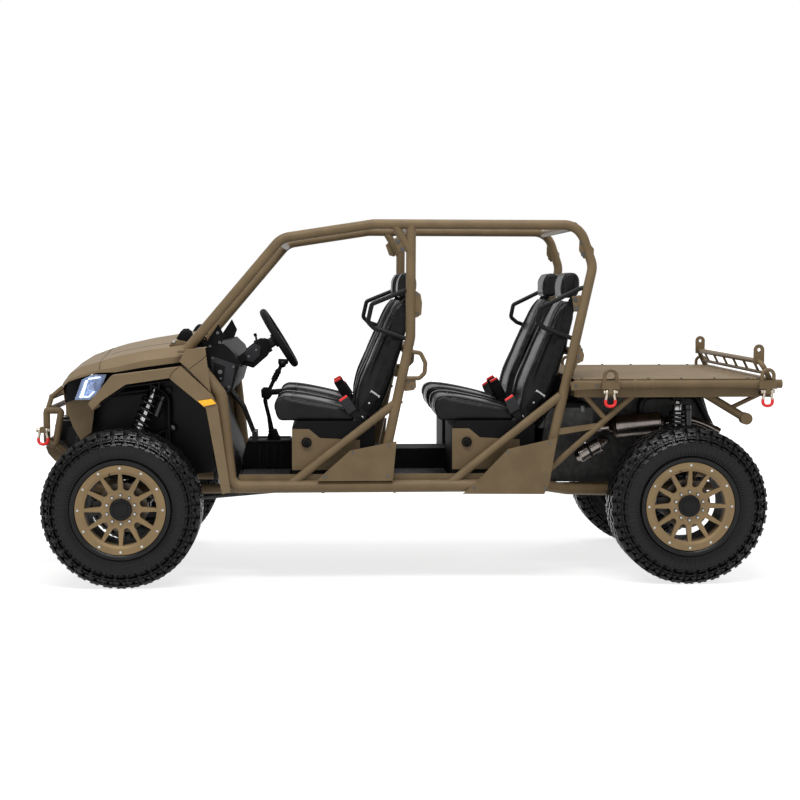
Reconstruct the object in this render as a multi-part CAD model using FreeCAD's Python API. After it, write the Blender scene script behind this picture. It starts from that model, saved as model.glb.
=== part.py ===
import FreeCAD, Part
import math
import os

# Four-seat open off-road buggy with a tubular roll cage and a flat rear cargo deck.
# Frame: X forward, Y to the vehicle's left, Z up, millimetres.
# Origin: on the ground, under the middle of the vehicle.

V = FreeCAD.Vector
SIDES = (("left", 1), ("right", -1))
CLEARANCE = 0.3

# ---------------------------------------------------------------- wheels and stance
TYRE_DIAMETER = 813.0
TYRE_WIDTH = 254.0
TYRE_SIDES = 60
TRACK = 1270.0
WHEELBASE = 2926.0
FRONT_AXLE_X = 1460.0
REAR_AXLE_X = FRONT_AXLE_X - WHEELBASE
AXLE_Z = TYRE_DIAMETER / 2
WHEEL_Y = TRACK / 2
BARREL_RADIUS = 190.0
BARREL_WALL = 7.0
BARREL_WIDTH = 220.0
BEADLOCK_RADIUS = 230.0
BEADLOCK_THICKNESS = 10.0
SPOKE_COUNT = 12
SPOKE_POCKET_ROOT = 100.0
SPOKE_POCKET_TOP = 184.0
SPOKE_WIDTH = 17.0
SPOKE_DEPTH = 26.0
HUB_PAD_RADIUS = 97.0
CENTRE_CAP_RADIUS = 58.0
HUB_FACE_OFFSET = 52.0
BEAD_HALF_WIDTH = BARREL_WIDTH / 2 - BEADLOCK_THICKNESS - CLEARANCE
DISC_RADIUS = 128.0
DISC_THICKNESS = 6.0
SPINDLE_RADIUS = 20.0

# Tyre section: half width at each radius, from bead to tread, both given as millimetres.
TYRE_SECTION = (
    # radius, half width
    (BEADLOCK_RADIUS + 1, BEAD_HALF_WIDTH),
    (BEADLOCK_RADIUS + 5, 113.0),
    (262.0, 122.0),
    (310.0, TYRE_WIDTH / 2),
    (362.0, 123.0),
    (394.0, 112.0),
    (TYRE_DIAMETER / 2, 92.0),
)

# ---------------------------------------------------------------- steering and suspension
KINGPIN_INSET = 75.0
KINGPIN_Y = WHEEL_Y - KINGPIN_INSET
BOSS_RADIUS = 21.0
CUP_HALF_HEIGHT = 12.0
STEERED_CLEARANCE = 6.0
UPPER_JOINT_Z = 516.0
LOWER_JOINT_Z = 296.0
UPPER_PIVOT_Z = 562.0
LOWER_PIVOT_Z = 370.0
UPPER_ARM_SPREAD = 100.0
LOWER_ARM_SPREAD = 120.0
ARM_RADIUS = 15.0
STEERING_ARM_REACH = 120.0
TIE_ROD_Z = 412.0
TIE_ROD_RADIUS = 9.0
SHOCK_BODY_RADIUS = 22.0
SHOCK_EYE_RADIUS = 18.0
SHOCK_EYE_HALF_WIDTH = 17.0
SPRING_RADIUS = 38.0
SPRING_TURNS = 9
HALF_SHAFT_INSET = 38.0
SHOCK_FOOT_INSET = 130.0
SHOCK_FOOT_Y = KINGPIN_Y - SHOCK_FOOT_INSET
BUSHING_RADIUS = 19.0
BUSHING_HALF_WIDTH = 22.0
PIVOT_BOLT_RADIUS = 8.0
EAR_THICKNESS = 7.0
BRIDGE_RADIUS = 12.0
DIFF_HALF_WIDTH = 112.0
DIFF_RADIUS = 60.0
DIFF_Z = AXLE_Z + 8
HANGER_RADIUS = 16.0

STEERING_WHEEL_CENTRE = V(663, 330, 1267)
STEERING_WHEEL_RADIUS = 175.0
STEERING_GRIP_RADIUS = 15.0
STEERING_TILT = 58.6
COLUMN_RADIUS = 27.0

# ---------------------------------------------------------------- frame and cage
ROCKER_Y = 660.0
ROCKER_Z = 512.0
ROCKER_RADIUS = 32.0
ROCKER_REAR_X = -735.0
RAIL_Y = 300.0
RAIL_Z = 456.0
RAIL_RADIUS = 25.0
CROSS_MEMBER_RADIUS = 20.0
FLOOR_BAR_RADIUS = 12.0
PROP_SHAFT_Z = 408.0
FRONT_SHAFT_Z = 368.0
SHAFT_JOINT_X = 1120.0
SHAFT_BEARING_X = 640.0
SHAFT_JOINT_RADIUS = 19.0
PROP_SHAFT_RADIUS = 13.0
FLOOR_BOTTOM = 500.0
FLOOR_THICKNESS = 4.0
CAGE_RADIUS = 25.4
CAGE_BEND = 110.0
BRACE_RADIUS = 22.0
HANDLE_RADIUS = 11.0
CAGE_FOOT_Z = 1212.0

# Centre line of one side hoop, from the cowl over the roof to the sill.
HOOP_POINTS = (
    # x, y, z
    (1131, 600, CAGE_FOOT_Z),
    (640, 592, 1788),
    (165, 588, 1861),
    (-900, 588, 1858),
    (-971, 596, 1645),
    (-712, 652, 530),
)

# ---------------------------------------------------------------- seats
TUNNEL_HALF_WIDTH = 120.0
STORAGE_Y = 600.0
SEAT_INSET = 10.0
SEAT_WIDTH = STORAGE_Y - SEAT_INSET - (TUNNEL_HALF_WIDTH - SEAT_INSET)
SEAT_Y = STORAGE_Y - SEAT_INSET - SEAT_WIDTH / 2
SEAT_ROW_PITCH = 832.0
SEAT_ROWS = (
    # row, shift in X, recline
    ("front", 0.0, 0.0),
    ("rear", -SEAT_ROW_PITCH, 30.0),
)
BACK_OUTLINE = (
    (263.7, 845.3), (263.7, 960), (238, 1062), (192, 1156), (138, 1287), (96, 1392), (70, 1440), (35, 1478),
    (-15, 1476), (-30, 1440), (-22, 1376), (14, 1241), (60, 1082), (108, 960), (140, 889), (150, 845.3),
)
KICK_PANELS = {
    # row shift: outline in X and Z, then where its flange on the sill starts and ends
    0.0: (((461, 549), (290, 701), (52, 748), (71, 549)), 71, 455),
    -SEAT_ROW_PITCH: (((-290, 474), (-346, 521), (-523, 705), (-777, 761), (-738, 519), (-712, 470)), -738, -380),
}
HEADREST_OUTLINE = (
    (33, 1478.3), (40, 1492), (38, 1578), (10, 1620), (-46, 1620), (-68, 1590), (-62, 1494), (-15, 1478.3),
)

# ---------------------------------------------------------------- cargo deck
DECK_TOP = 1066.0
DECK_THICKNESS = 5.0
DECK_FRONT_X = -866.0
DECK_REAR_X = -1906.0
DECK_REAR_PLATE = 106.0
DECK_SEAM_X = DECK_REAR_X + DECK_REAR_PLATE
DECK_HALF_WIDTH = 700.0
DECK_TUBE_RADIUS = 23.0
DECK_TUBE_INSET = 10.0
DECK_TUBE_Y = DECK_HALF_WIDTH - DECK_TUBE_INSET
DECK_TUBE_Z = DECK_TOP - DECK_THICKNESS - DECK_TUBE_RADIUS
DECK_TUBE_OVERHANG = 39.0
DECK_TUBE_REAR_X = DECK_REAR_X - DECK_TUBE_OVERHANG
TIE_DOWN_INSET = 41.0
TIE_DOWN_X = (-1047.0, DECK_REAR_X + TIE_DOWN_INSET)
TIE_DOWN_OUTSET = 22.0
TIE_DOWN_Y = DECK_HALF_WIDTH + TIE_DOWN_OUTSET
CHANNEL_INSET = 50.0
CHANNEL_Y = DECK_TUBE_Y - CHANNEL_INSET
CHANNEL_REAR_X = DECK_REAR_X + 76
HITCH_Y = CHANNEL_Y - 40
TIE_DOWN_LOOP_RADIUS = 40.0
TIE_DOWN_ROD_RADIUS = 9.5
RACK_FOOT_X = DECK_REAR_X + 24
RACK_LEAN = 44.0
RACK_TOP_X = RACK_FOOT_X + RACK_LEAN
RACK_HALF_WIDTH = DECK_HALF_WIDTH - 60
RACK_TOP_Z = DECK_TOP + 86
RACK_LOW_Z = DECK_TOP + 26
RACK_SLATS = 6
RACK_TAB_HOLE_RADIUS = 9.0
RACK_TAB_THICKNESS = 8.0
RACK_TAB_HOLE_Z = RACK_TOP_Z + 60

# ---------------------------------------------------------------- body, cabin and gear
PANEL = 4.0
FLOOR_TOP = FLOOR_BOTTOM + FLOOR_THICKNESS
CROSS_MEMBER_X = (860.0, 430.0, 60.0, -330.0, -700.0)
BAY_TUBE_RADIUS = 19.0
BAY_TOP_Z = 950.0
FRONT_SHOCK_TOP = V(1317, 372, 1012)
FRONT_SHOCK_LEAN = 22.0
REAR_SHOCK_TOP = V(-1468, 390, 940)
BUMPER_Y = 350.0
BUMPER_RADIUS = 18.0
SHACKLE_ROD_RADIUS = 8.0
SHACKLE_HALF_WIDTH = 26.0
SHACKLE_DROP = 76.0
SHACKLE_PIN_Z = DECK_TUBE_Z - 38.0

NOSE_LOW = (1745, 800)
NOSE_MIDDLE = (1783, 912)
NOSE_HIGH = (1800, 1010)
NOSE_PLATE = 5.0
LIP_X = 1794.3
NOSE_HALF_WIDTH = 405.0
GRILLE_OPENING = 300.0
GRILLE_SLATS_LOW = 822
GRILLE_SLATS_HIGH = 980
GRILLE_SLAT_PITCH = 23

# Outlines in X and Z of the black walls beside the front bay and the engine.
BAY_WALL_Y = 253.0
FRONT_BAY_WALL = [(1016, 545), (1016, 1000), (1042, 1022), (1042, 1190), (1112, 1222), (1352, 1176), (1500, 1138),
                  (1590, 1106), (1690, 1040), (1716, 905), (1726, 796), (1800, 786), (1812, 705), (1780, 645),
                  (1700, 575), (1600, 518), (1250, 515)]
ENGINE_WALL = [(-718, 0), (-722, 520), (-759, 870), (-806, 958), (-1640, 958), (-1690, 800), (-1700, 700), (-1600, 0)]

# Cross-sections of the two nose covers, from the middle of the roofline down to the hem.
HOOD_SECTIONS = (
    # x, centre z, shoulder y, shoulder z, crease y, crease z, hem y, hem z
    (1112, 1296, 500, 1240, 548, 1186, 552, 1156),
    (1352, 1258, 500, 1208, 590, 1160, 596, 1126),
    (1500, 1226, 490, 1178, 580, 1125, 588, 1100),
    (1590, 1200, 470, 1150, 545, 1108, 550, 1096),
)
NOSE_SECTIONS = (
    (1590 + CLEARANCE, 1200, 470, 1150, 545, 1108, 550, 1096),
    (1690, 1163, 445, 1122, 512, 1082, 517, 1068),
    (1758, 1120, 412, 1084, 462, 1054, 465, 1043),
    (1800, 1062, 372, 1034, 408, 1020, 410, 1010),
)


# ---------------------------------------------------------------- shape helpers
def box(x0, x1, y0, y1, z0, z1):
    """A block between two corners given per axis."""
    return Part.makeBox(x1 - x0, y1 - y0, z1 - z0, V(x0, y0, z0))


def rod(start, end, radius):
    """A straight round bar between two points."""
    return Part.makeCylinder(radius, (end - start).Length, start, end - start)


def tube(points, radius, bend):
    """A round tube along straight runs that tangent arcs of one bend radius join."""
    points = [V(*point) for point in points]
    edges = []
    run_start = points[0]
    for before, corner, after in zip(points, points[1:], points[2:]):
        arriving = (corner - before).normalize()
        leaving = (after - corner).normalize()
        half_turn = arriving.getAngle(leaving) / 2
        setback = bend * math.tan(half_turn)
        arc_start = corner - arriving * setback
        arc_end = corner + leaving * setback
        inward = (leaving - arriving).normalize()
        arc_middle = corner + inward * (bend / math.cos(half_turn) - bend)
        edges.append(Part.LineSegment(run_start, arc_start).toShape())
        edges.append(Part.Arc(arc_start, arc_middle, arc_end).toShape())
        run_start = arc_end
    edges.append(Part.LineSegment(run_start, points[-1]).toShape())
    section = Part.Wire(Part.makeCircle(radius, points[0], points[1] - points[0]))
    return Part.Wire(edges).makePipe(Part.Face(section))


def side_plate(outline, y0, y1):
    """A plate whose outline is drawn in X and Z, spanning y0 to y1."""
    wire = Part.makePolygon([V(x, y0, z) for x, z in outline] + [V(outline[0][0], y0, outline[0][1])])
    return Part.Face(wire).extrude(V(0, y1 - y0, 0))


def mirrored(shape):
    """The same shape on the other side of the vehicle."""
    return shape.mirror(V(0, 0, 0), V(0, 1, 0))


def both_sides(shape):
    return [shape, mirrored(shape)]


def fused(shapes):
    """One solid out of several that meet."""
    return shapes[0].fuse(shapes[1:]).removeSplitter()


def less(shape, cutters):
    """The shape with the cutters taken away."""
    return shape.cut(cutters)


def save(node, shapes):
    """Write a node's solids to its own file."""
    solids = [solid for shape in shapes for solid in shape.Solids]
    Part.makeCompound(solids).exportStep("parts/" + node + ".step")


def faceted_ring(section, sides):
    """A ring of flat facets about the Y axis, with a flat at its lowest point.

    The section lists (distance from the axis to the middle of a flat, y)."""
    stretch = 1 / math.cos(math.pi / sides)
    corners = []
    for step in range(sides):
        angle = 2 * math.pi * (step + 0.5) / sides
        corners.append([V(-math.sin(angle) * r * stretch, y, -math.cos(angle) * r * stretch)
                        for r, y in section])
    faces = []
    for step in range(sides):
        here = corners[step]
        there = corners[(step + 1) % sides]
        for index in range(len(section)):
            follower = (index + 1) % len(section)
            loop = [here[index], here[follower], there[follower], there[index], here[index]]
            faces.append(Part.Face(Part.makePolygon(loop)))
    shell = Part.makeShell(faces)
    shell.sewShape()
    solid = Part.makeSolid(shell)
    if solid.Volume < 0:
        solid.reverse()
    return solid


def revolved(section):
    """A solid of revolution about the Y axis from (radius, y) points."""
    wire = Part.makePolygon([V(r, y, 0) for r, y in section] + [V(section[0][0], section[0][1], 0)])
    return Part.Face(wire).revolve(V(0, 0, 0), V(0, 1, 0), 360)


# ---------------------------------------------------------------- wheels, built about their own centre
def tyre():
    """The tyre out to its lug tips, standing on a flat."""
    bore = BARREL_RADIUS + CLEARANCE
    outside = [(r, y) for r, y in TYRE_SECTION]
    section = [(bore, BEAD_HALF_WIDTH)] + outside
    section += [(r, -y) for r, y in reversed(section)]
    return faceted_ring(section, TYRE_SIDES)


def spoke_pocket(depth_from, depth_to):
    """One U-shaped window between two spokes, with a round root."""
    pitch = math.pi / SPOKE_COUNT
    root_half = SPOKE_POCKET_ROOT * math.tan(pitch) - SPOKE_WIDTH / 2
    top_half = SPOKE_POCKET_TOP * math.sin(pitch) - SPOKE_WIDTH / 2
    root = SPOKE_POCKET_ROOT + root_half
    top = math.sqrt(SPOKE_POCKET_TOP ** 2 - top_half ** 2)
    edges = [
        Part.LineSegment(V(root_half, depth_from, root), V(top_half, depth_from, top)).toShape(),
        Part.Arc(V(top_half, depth_from, top), V(0, depth_from, SPOKE_POCKET_TOP),
                 V(-top_half, depth_from, top)).toShape(),
        Part.LineSegment(V(-top_half, depth_from, top), V(-root_half, depth_from, root)).toShape(),
        Part.Arc(V(-root_half, depth_from, root), V(0, depth_from, SPOKE_POCKET_ROOT),
                 V(root_half, depth_from, root)).toShape(),
    ]
    return Part.Face(Part.Wire(edges)).extrude(V(0, depth_to - depth_from, 0))


def rim():
    """Barrel, beadlock ring and the twelve-spoke face, outer side towards +Y."""
    outer_y = BARREL_WIDTH / 2
    inside = BARREL_RADIUS - BARREL_WALL
    face_y = HUB_FACE_OFFSET + SPOKE_DEPTH
    profile = revolved([
        (CENTRE_CAP_RADIUS, HUB_FACE_OFFSET),
        (HUB_PAD_RADIUS, HUB_FACE_OFFSET),
        (inside, outer_y - BEADLOCK_THICKNESS - SPOKE_DEPTH),
        (inside, -outer_y),
        (BARREL_RADIUS, -outer_y),
        (BARREL_RADIUS, outer_y - BEADLOCK_THICKNESS),
        (BEADLOCK_RADIUS, outer_y - BEADLOCK_THICKNESS),
        (BEADLOCK_RADIUS, outer_y),
        (SPOKE_POCKET_TOP + 15, outer_y),
        (SPOKE_POCKET_TOP, outer_y - 8),
        (HUB_PAD_RADIUS, face_y),
        (CENTRE_CAP_RADIUS, face_y),
    ])
    pocket = spoke_pocket(0, outer_y + BEADLOCK_THICKNESS)
    pockets = []
    for step in range(SPOKE_COUNT):
        turned = pocket.copy()
        turned.rotate(V(0, 0, 0), V(0, 1, 0), 360 / SPOKE_COUNT * (step + 0.5))
        pockets.append(turned)
    return less(profile, pockets)


def hub_and_disc():
    """Hub flange behind the rim, the centre cap in its bore, and the brake disc."""
    disc_y = HUB_FACE_OFFSET - 50
    return revolved([
        (SPINDLE_RADIUS + CLEARANCE, disc_y - 8),
        (46.0, disc_y - 8),
        (46.0, disc_y),
        (DISC_RADIUS, disc_y),
        (DISC_RADIUS, disc_y + DISC_THICKNESS),
        (60.0, disc_y + DISC_THICKNESS),
        (60.0, HUB_FACE_OFFSET - 10),
        (HUB_PAD_RADIUS - 6, HUB_FACE_OFFSET - 10),
        (HUB_PAD_RADIUS - 6, HUB_FACE_OFFSET),
        (CENTRE_CAP_RADIUS - CLEARANCE, HUB_FACE_OFFSET),
        (CENTRE_CAP_RADIUS - CLEARANCE, HUB_FACE_OFFSET + SPOKE_DEPTH + 8),
        (CENTRE_CAP_RADIUS - 8, HUB_FACE_OFFSET + SPOKE_DEPTH + 14),
        (0.0, HUB_FACE_OFFSET + SPOKE_DEPTH + 14),
        (0.0, HUB_FACE_OFFSET - 12),
        (SPINDLE_RADIUS + CLEARANCE, HUB_FACE_OFFSET - 12),
    ])


def placed_wheel_piece(shape, axle_x, side):
    """A wheel piece moved from its own centre to its corner of the vehicle."""
    piece = shape.copy()
    piece.translate(V(axle_x, WHEEL_Y, AXLE_Z))
    return piece if side > 0 else mirrored(piece)


def save_wheels():
    pieces = (("tyre", tyre()), ("rim", rim()), ("hub_disc", hub_and_disc()))
    for axle_name, axle_x in (("front", FRONT_AXLE_X), ("rear", REAR_AXLE_X)):
        for side_name, side in SIDES:
            for piece_name, shape in pieces:
                node = "_".join((piece_name, axle_name, side_name))
                save(node, [placed_wheel_piece(shape, axle_x, side)])


# ---------------------------------------------------------------- uprights, arms, shafts and shocks
def caliper(axle_x):
    """Left brake caliper round the front edge of the disc, on an arm from the upright's post."""
    disc_y = WHEEL_Y + HUB_FACE_OFFSET - 50
    body = box(axle_x + 96, axle_x + 152, disc_y - 22, disc_y + DISC_THICKNESS + 20, AXLE_Z - 38, AXLE_Z + 38)
    slot = box(axle_x + 80, axle_x + DISC_RADIUS + 6, disc_y - 6, disc_y + DISC_THICKNESS + 6, AXLE_Z - 60, AXLE_Z + 60)
    arm = box(axle_x + 20, axle_x + 130, KINGPIN_Y + 5, disc_y - 14, AXLE_Z - 24, AXLE_Z + 24)
    return [body.cut(slot), arm]


def upright(axle_x):
    """The left upright: two joint bosses, the post between them and the wheel spindle."""
    disc_back_y = WHEEL_Y + HUB_FACE_OFFSET - 50 - 8
    foot = LOWER_JOINT_Z + CUP_HALF_HEIGHT + STEERED_CLEARANCE
    head = UPPER_JOINT_Z - CUP_HALF_HEIGHT - STEERED_CLEARANCE
    post = side_plate([(axle_x - 34, foot), (axle_x + 34, foot), (axle_x + 42, AXLE_Z),
                       (axle_x + 30, head), (axle_x - 30, head), (axle_x - 42, AXLE_Z)],
                      KINGPIN_Y - 5, KINGPIN_Y + 25)
    spindle = rod(V(axle_x, KINGPIN_Y, AXLE_Z),
                  V(axle_x, WHEEL_Y + HUB_FACE_OFFSET - 12 - CLEARANCE, AXLE_Z), SPINDLE_RADIUS)
    shoulder = rod(V(axle_x, KINGPIN_Y, AXLE_Z), V(axle_x, disc_back_y - 6, AXLE_Z), 40.0)
    bosses = [rod(V(axle_x, KINGPIN_Y, LOWER_JOINT_Z - 16), V(axle_x, KINGPIN_Y, foot + 8), BOSS_RADIUS),
              rod(V(axle_x, KINGPIN_Y, head - 8), V(axle_x, KINGPIN_Y, UPPER_JOINT_Z + 16), BOSS_RADIUS)]
    return [post, spindle, shoulder] + bosses + caliper(axle_x)


def front_knuckle():
    """The steered left upright with its steering arm and boss."""
    arm_x = FRONT_AXLE_X - STEERING_ARM_REACH
    arm = box(arm_x, FRONT_AXLE_X - 30, KINGPIN_Y - 14, KINGPIN_Y + 8, TIE_ROD_Z + 14, TIE_ROD_Z + 30)
    boss = rod(V(arm_x, KINGPIN_Y - 3, TIE_ROD_Z + 14), V(arm_x, KINGPIN_Y - 3, TIE_ROD_Z + 30), 16.0)
    return fused(upright(FRONT_AXLE_X) + [arm, boss])


def rear_carrier():
    return fused(upright(REAR_AXLE_X))


def wishbone(axle_x, joint_z, pivot_z, spread):
    """One left wishbone: two legs from the pivot bushings to a cup round the upright's boss."""
    cup = rod(V(axle_x, KINGPIN_Y, joint_z - CUP_HALF_HEIGHT), V(axle_x, KINGPIN_Y, joint_z + CUP_HALF_HEIGHT),
              30.0)
    pieces = [cup]
    bores = [rod(V(axle_x, KINGPIN_Y, joint_z - 20), V(axle_x, KINGPIN_Y, joint_z + 20),
                 BOSS_RADIUS + CLEARANCE)]
    for end in (-1, 1):
        pivot = V(axle_x + end * spread, RAIL_Y, pivot_z)
        reach = V(BUSHING_HALF_WIDTH, 0, 0)
        pieces.append(rod(pivot, V(axle_x + end * 12, KINGPIN_Y - 24, joint_z), ARM_RADIUS))
        pieces.append(rod(pivot - reach, pivot + reach, BUSHING_RADIUS))
        bores.append(rod(pivot - reach * 2, pivot + reach * 2, PIVOT_BOLT_RADIUS + CLEARANCE))
    outboard = box(axle_x - 60, axle_x + 60, KINGPIN_Y - 6, KINGPIN_Y + 60, joint_z - 30, joint_z + 30)
    return less(fused(pieces), bores + [outboard])


def shock_foot(axle_x, lean):
    """Middle of the shock's lower eye, which rests on the bridge of the upper wishbone."""
    reach = (SHOCK_FOOT_Y - RAIL_Y) / (KINGPIN_Y - 24 - RAIL_Y)
    bridge_z = UPPER_PIVOT_Z + (UPPER_JOINT_Z - UPPER_PIVOT_Z) * reach
    return V(axle_x + lean, SHOCK_FOOT_Y, bridge_z + BRIDGE_RADIUS + SHOCK_EYE_RADIUS + CLEARANCE)


def upper_wishbone(axle_x):
    """The upper wishbone with the bridge that carries the shock."""
    foot = shock_foot(axle_x, 0)
    bridge_z = foot.z - BRIDGE_RADIUS - SHOCK_EYE_RADIUS - CLEARANCE
    bridge = rod(V(axle_x - 44, SHOCK_FOOT_Y, bridge_z), V(axle_x + 44, SHOCK_FOOT_Y, bridge_z),
                 BRIDGE_RADIUS)
    return fused([wishbone(axle_x, UPPER_JOINT_Z, UPPER_PIVOT_Z, UPPER_ARM_SPREAD), bridge])


def lower_wishbone(axle_x):
    return wishbone(axle_x, LOWER_JOINT_Z, LOWER_PIVOT_Z, LOWER_ARM_SPREAD)


def shock(top, foot):
    """One coil-over: damper, rod, two eyes and the coil spring round them."""
    length = (foot - top).Length
    across = V(SHOCK_EYE_HALF_WIDTH, 0, 0)
    spring_top = 66.0
    spring_foot = length - 62.0
    pitch = (spring_foot - spring_top - 16) / SPRING_TURNS
    core = SPRING_RADIUS - 10
    profile = [(0, 0), (11, 0), (11, 30), (SHOCK_BODY_RADIUS, 30), (SHOCK_BODY_RADIUS, spring_top),
               (SPRING_RADIUS + 3, spring_top), (SPRING_RADIUS + 3, spring_top + 8), (core, spring_top + 8)]
    for turn in range(SPRING_TURNS):
        start = spring_top + 8 + turn * pitch
        profile += [(core, start + pitch * 0.25), (SPRING_RADIUS, start + pitch * 0.38),
                    (SPRING_RADIUS, start + pitch * 0.62), (core, start + pitch * 0.75)]
    profile += [(core, spring_foot - 8), (SPRING_RADIUS + 3, spring_foot - 8), (SPRING_RADIUS + 3, spring_foot),
                (10, spring_foot), (10, length), (0, length)]
    wire = Part.makePolygon([V(r, 0, at) for r, at in profile] + [V(0, 0, 0)])
    strut = Part.Face(wire).revolve(V(0, 0, 0), V(0, 0, 1), 360)
    strut.Placement = FreeCAD.Placement(top, FreeCAD.Rotation(V(0, 0, 1), foot - top))
    eyes = [rod(end - across, end + across, SHOCK_EYE_RADIUS) for end in (top, foot)]
    return fused([strut] + eyes)


def shock_ears(top, inner_y):
    """Two plates that hold a shock's upper eye out from a frame tube."""
    ears = []
    for end in (-1, 1):
        near = top.x + end * (SHOCK_EYE_HALF_WIDTH + CLEARANCE)
        far = near + end * EAR_THICKNESS
        ears.append(box(min(near, far), max(near, far), inner_y, top.y + 20, top.z - 14, top.z + 20))
    return ears


def half_shaft(axle_x):
    """Left half shaft with a boot at each end."""
    inner = V(axle_x, DIFF_HALF_WIDTH - 2, DIFF_Z)
    outer = V(axle_x, KINGPIN_Y - HALF_SHAFT_INSET, AXLE_Z)
    axis = (outer - inner).normalize()
    shaft = rod(inner, outer, 14.0)
    boots = [Part.makeCone(38, 20, 70, inner, axis), Part.makeCone(20, 38, 60, outer - axis * 60, axis)]
    return fused([shaft] + boots)


def final_drive(axle_x, half_length):
    """Final drive case, hung between the rails, with a half shaft to each wheel."""
    case = rod(V(axle_x, -DIFF_HALF_WIDTH, DIFF_Z), V(axle_x, DIFF_HALF_WIDTH, DIFF_Z), DIFF_RADIUS)
    belly = rod(V(axle_x - half_length, 0, DIFF_Z), V(axle_x + half_length, 0, DIFF_Z), 52.0)
    return fused([case, belly] + both_sides(half_shaft(axle_x)))


def prop_shaft():
    """Shaft between the final drives: it drops under the steering rack behind the front one."""
    points = [V(FRONT_AXLE_X - 60, 0, FRONT_SHAFT_Z), V(SHAFT_JOINT_X, 0, FRONT_SHAFT_Z),
              V(SHAFT_BEARING_X, 0, PROP_SHAFT_Z), V(REAR_AXLE_X + 100, 0, PROP_SHAFT_Z)]
    pieces = [rod(start, end, PROP_SHAFT_RADIUS) for start, end in zip(points, points[1:])]
    return pieces + [Part.makeSphere(SHAFT_JOINT_RADIUS, joint) for joint in points[1:3]]


def steering_rack():
    """Rack bar and both tie rods as one piece, ending in eyes under the steering arms."""
    x = FRONT_AXLE_X - STEERING_ARM_REACH
    eye_y = KINGPIN_Y - 3
    pieces = [rod(V(x, -eye_y, TIE_ROD_Z), V(x, eye_y, TIE_ROD_Z), TIE_ROD_RADIUS)]
    for end in (-1, 1):
        pieces.append(rod(V(x, end * eye_y, TIE_ROD_Z - 12), V(x, end * eye_y, TIE_ROD_Z + 12), 15.0))
    return fused(pieces)


def rack_housing():
    """Housing that the rack slides through, with two straps to the cross member behind it."""
    x = FRONT_AXLE_X - STEERING_ARM_REACH
    case = rod(V(x, -190, TIE_ROD_Z), V(x, 190, TIE_ROD_Z), 26.0)
    bore = rod(V(x, -230, TIE_ROD_Z), V(x, 230, TIE_ROD_Z), TIE_ROD_RADIUS + CLEARANCE)
    strap_top = RAIL_Z - CROSS_MEMBER_RADIUS
    straps = [box(1240, x - 5, y - 20, y + 20, strap_top - 8, strap_top) for y in (-140, 140)]
    return less(fused([case] + straps), [bore])


# ---------------------------------------------------------------- frame and cage
def rocker_and_post():
    """Left sill tube that turns up into the front door post and reaches the cage foot."""
    return tube([(ROCKER_REAR_X, ROCKER_Y, ROCKER_Z), (902, ROCKER_Y, ROCKER_Z),
                 (950, 652, 985), (1112, 606, CAGE_FOOT_Z - 12)], ROCKER_RADIUS, 60)


def pivot_brackets(axle_x, pivot_z, spread, z0, z1):
    """Ears and a bolt at both pivots of one left wishbone, standing on the rail."""
    pieces = []
    for end in (-1, 1):
        pivot = V(axle_x + end * spread, RAIL_Y, pivot_z)
        reach = V(BUSHING_HALF_WIDTH + CLEARANCE + EAR_THICKNESS, 0, 0)
        pieces.append(rod(pivot - reach, pivot + reach, PIVOT_BOLT_RADIUS))
        for ear in (-1, 1):
            near = pivot.x + ear * (BUSHING_HALF_WIDTH + CLEARANCE)
            far = near + ear * EAR_THICKNESS
            pieces.append(box(min(near, far), max(near, far), RAIL_Y - 18, RAIL_Y + 6, z0, z1))
    return pieces


def ladder_frame():
    """Sill tubes, belly rails, cross members, outriggers, arm brackets and the cage feet."""
    pieces = []
    rail = tube([(1792, RAIL_Y, 650), (1650, RAIL_Y, RAIL_Z), (-1800, RAIL_Y, RAIL_Z)], RAIL_RADIUS, 90)
    outrigger = tube([(ROCKER_REAR_X + 30, ROCKER_Y, ROCKER_Z), (-850, 560, 478),
                      (-1080, 440, 456), (-1240, RAIL_Y, RAIL_Z)], 29.0, 90)
    foot = box(1084, 1172, 560, 640, CAGE_FOOT_Z - 12, CAGE_FOOT_Z)
    for piece in (rocker_and_post(), rail, outrigger, foot):
        pieces += both_sides(piece)
    for axle_x in (FRONT_AXLE_X, REAR_AXLE_X):
        brackets = pivot_brackets(axle_x, UPPER_PIVOT_Z, UPPER_ARM_SPREAD, RAIL_Z + 15, UPPER_PIVOT_Z + 20)
        brackets += pivot_brackets(axle_x, LOWER_PIVOT_Z, LOWER_ARM_SPREAD, LOWER_PIVOT_Z - 20, RAIL_Z - 15)
        for bracket in brackets:
            pieces += both_sides(bracket)
    hanger_z = DIFF_Z + DIFF_RADIUS + CLEARANCE + HANGER_RADIUS
    for x in (FRONT_AXLE_X, REAR_AXLE_X):
        pieces.append(rod(V(x, -RAIL_Y, hanger_z), V(x, RAIL_Y, hanger_z), HANGER_RADIUS))
    for x in CROSS_MEMBER_X:
        pieces.append(rod(V(x, -ROCKER_Y, FLOOR_BOTTOM - FLOOR_BAR_RADIUS),
                          V(x, ROCKER_Y, FLOOR_BOTTOM - FLOOR_BAR_RADIUS), FLOOR_BAR_RADIUS))
    for x, z in ((1770, 620), (1255, RAIL_Z), (-1000, RAIL_Z), (-1160, RAIL_Z), (-1310, RAIL_Z), (-1780, RAIL_Z)):
        pieces.append(rod(V(x, -RAIL_Y, z), V(x, RAIL_Y, z), CROSS_MEMBER_RADIUS))
    return fused(pieces)


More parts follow.
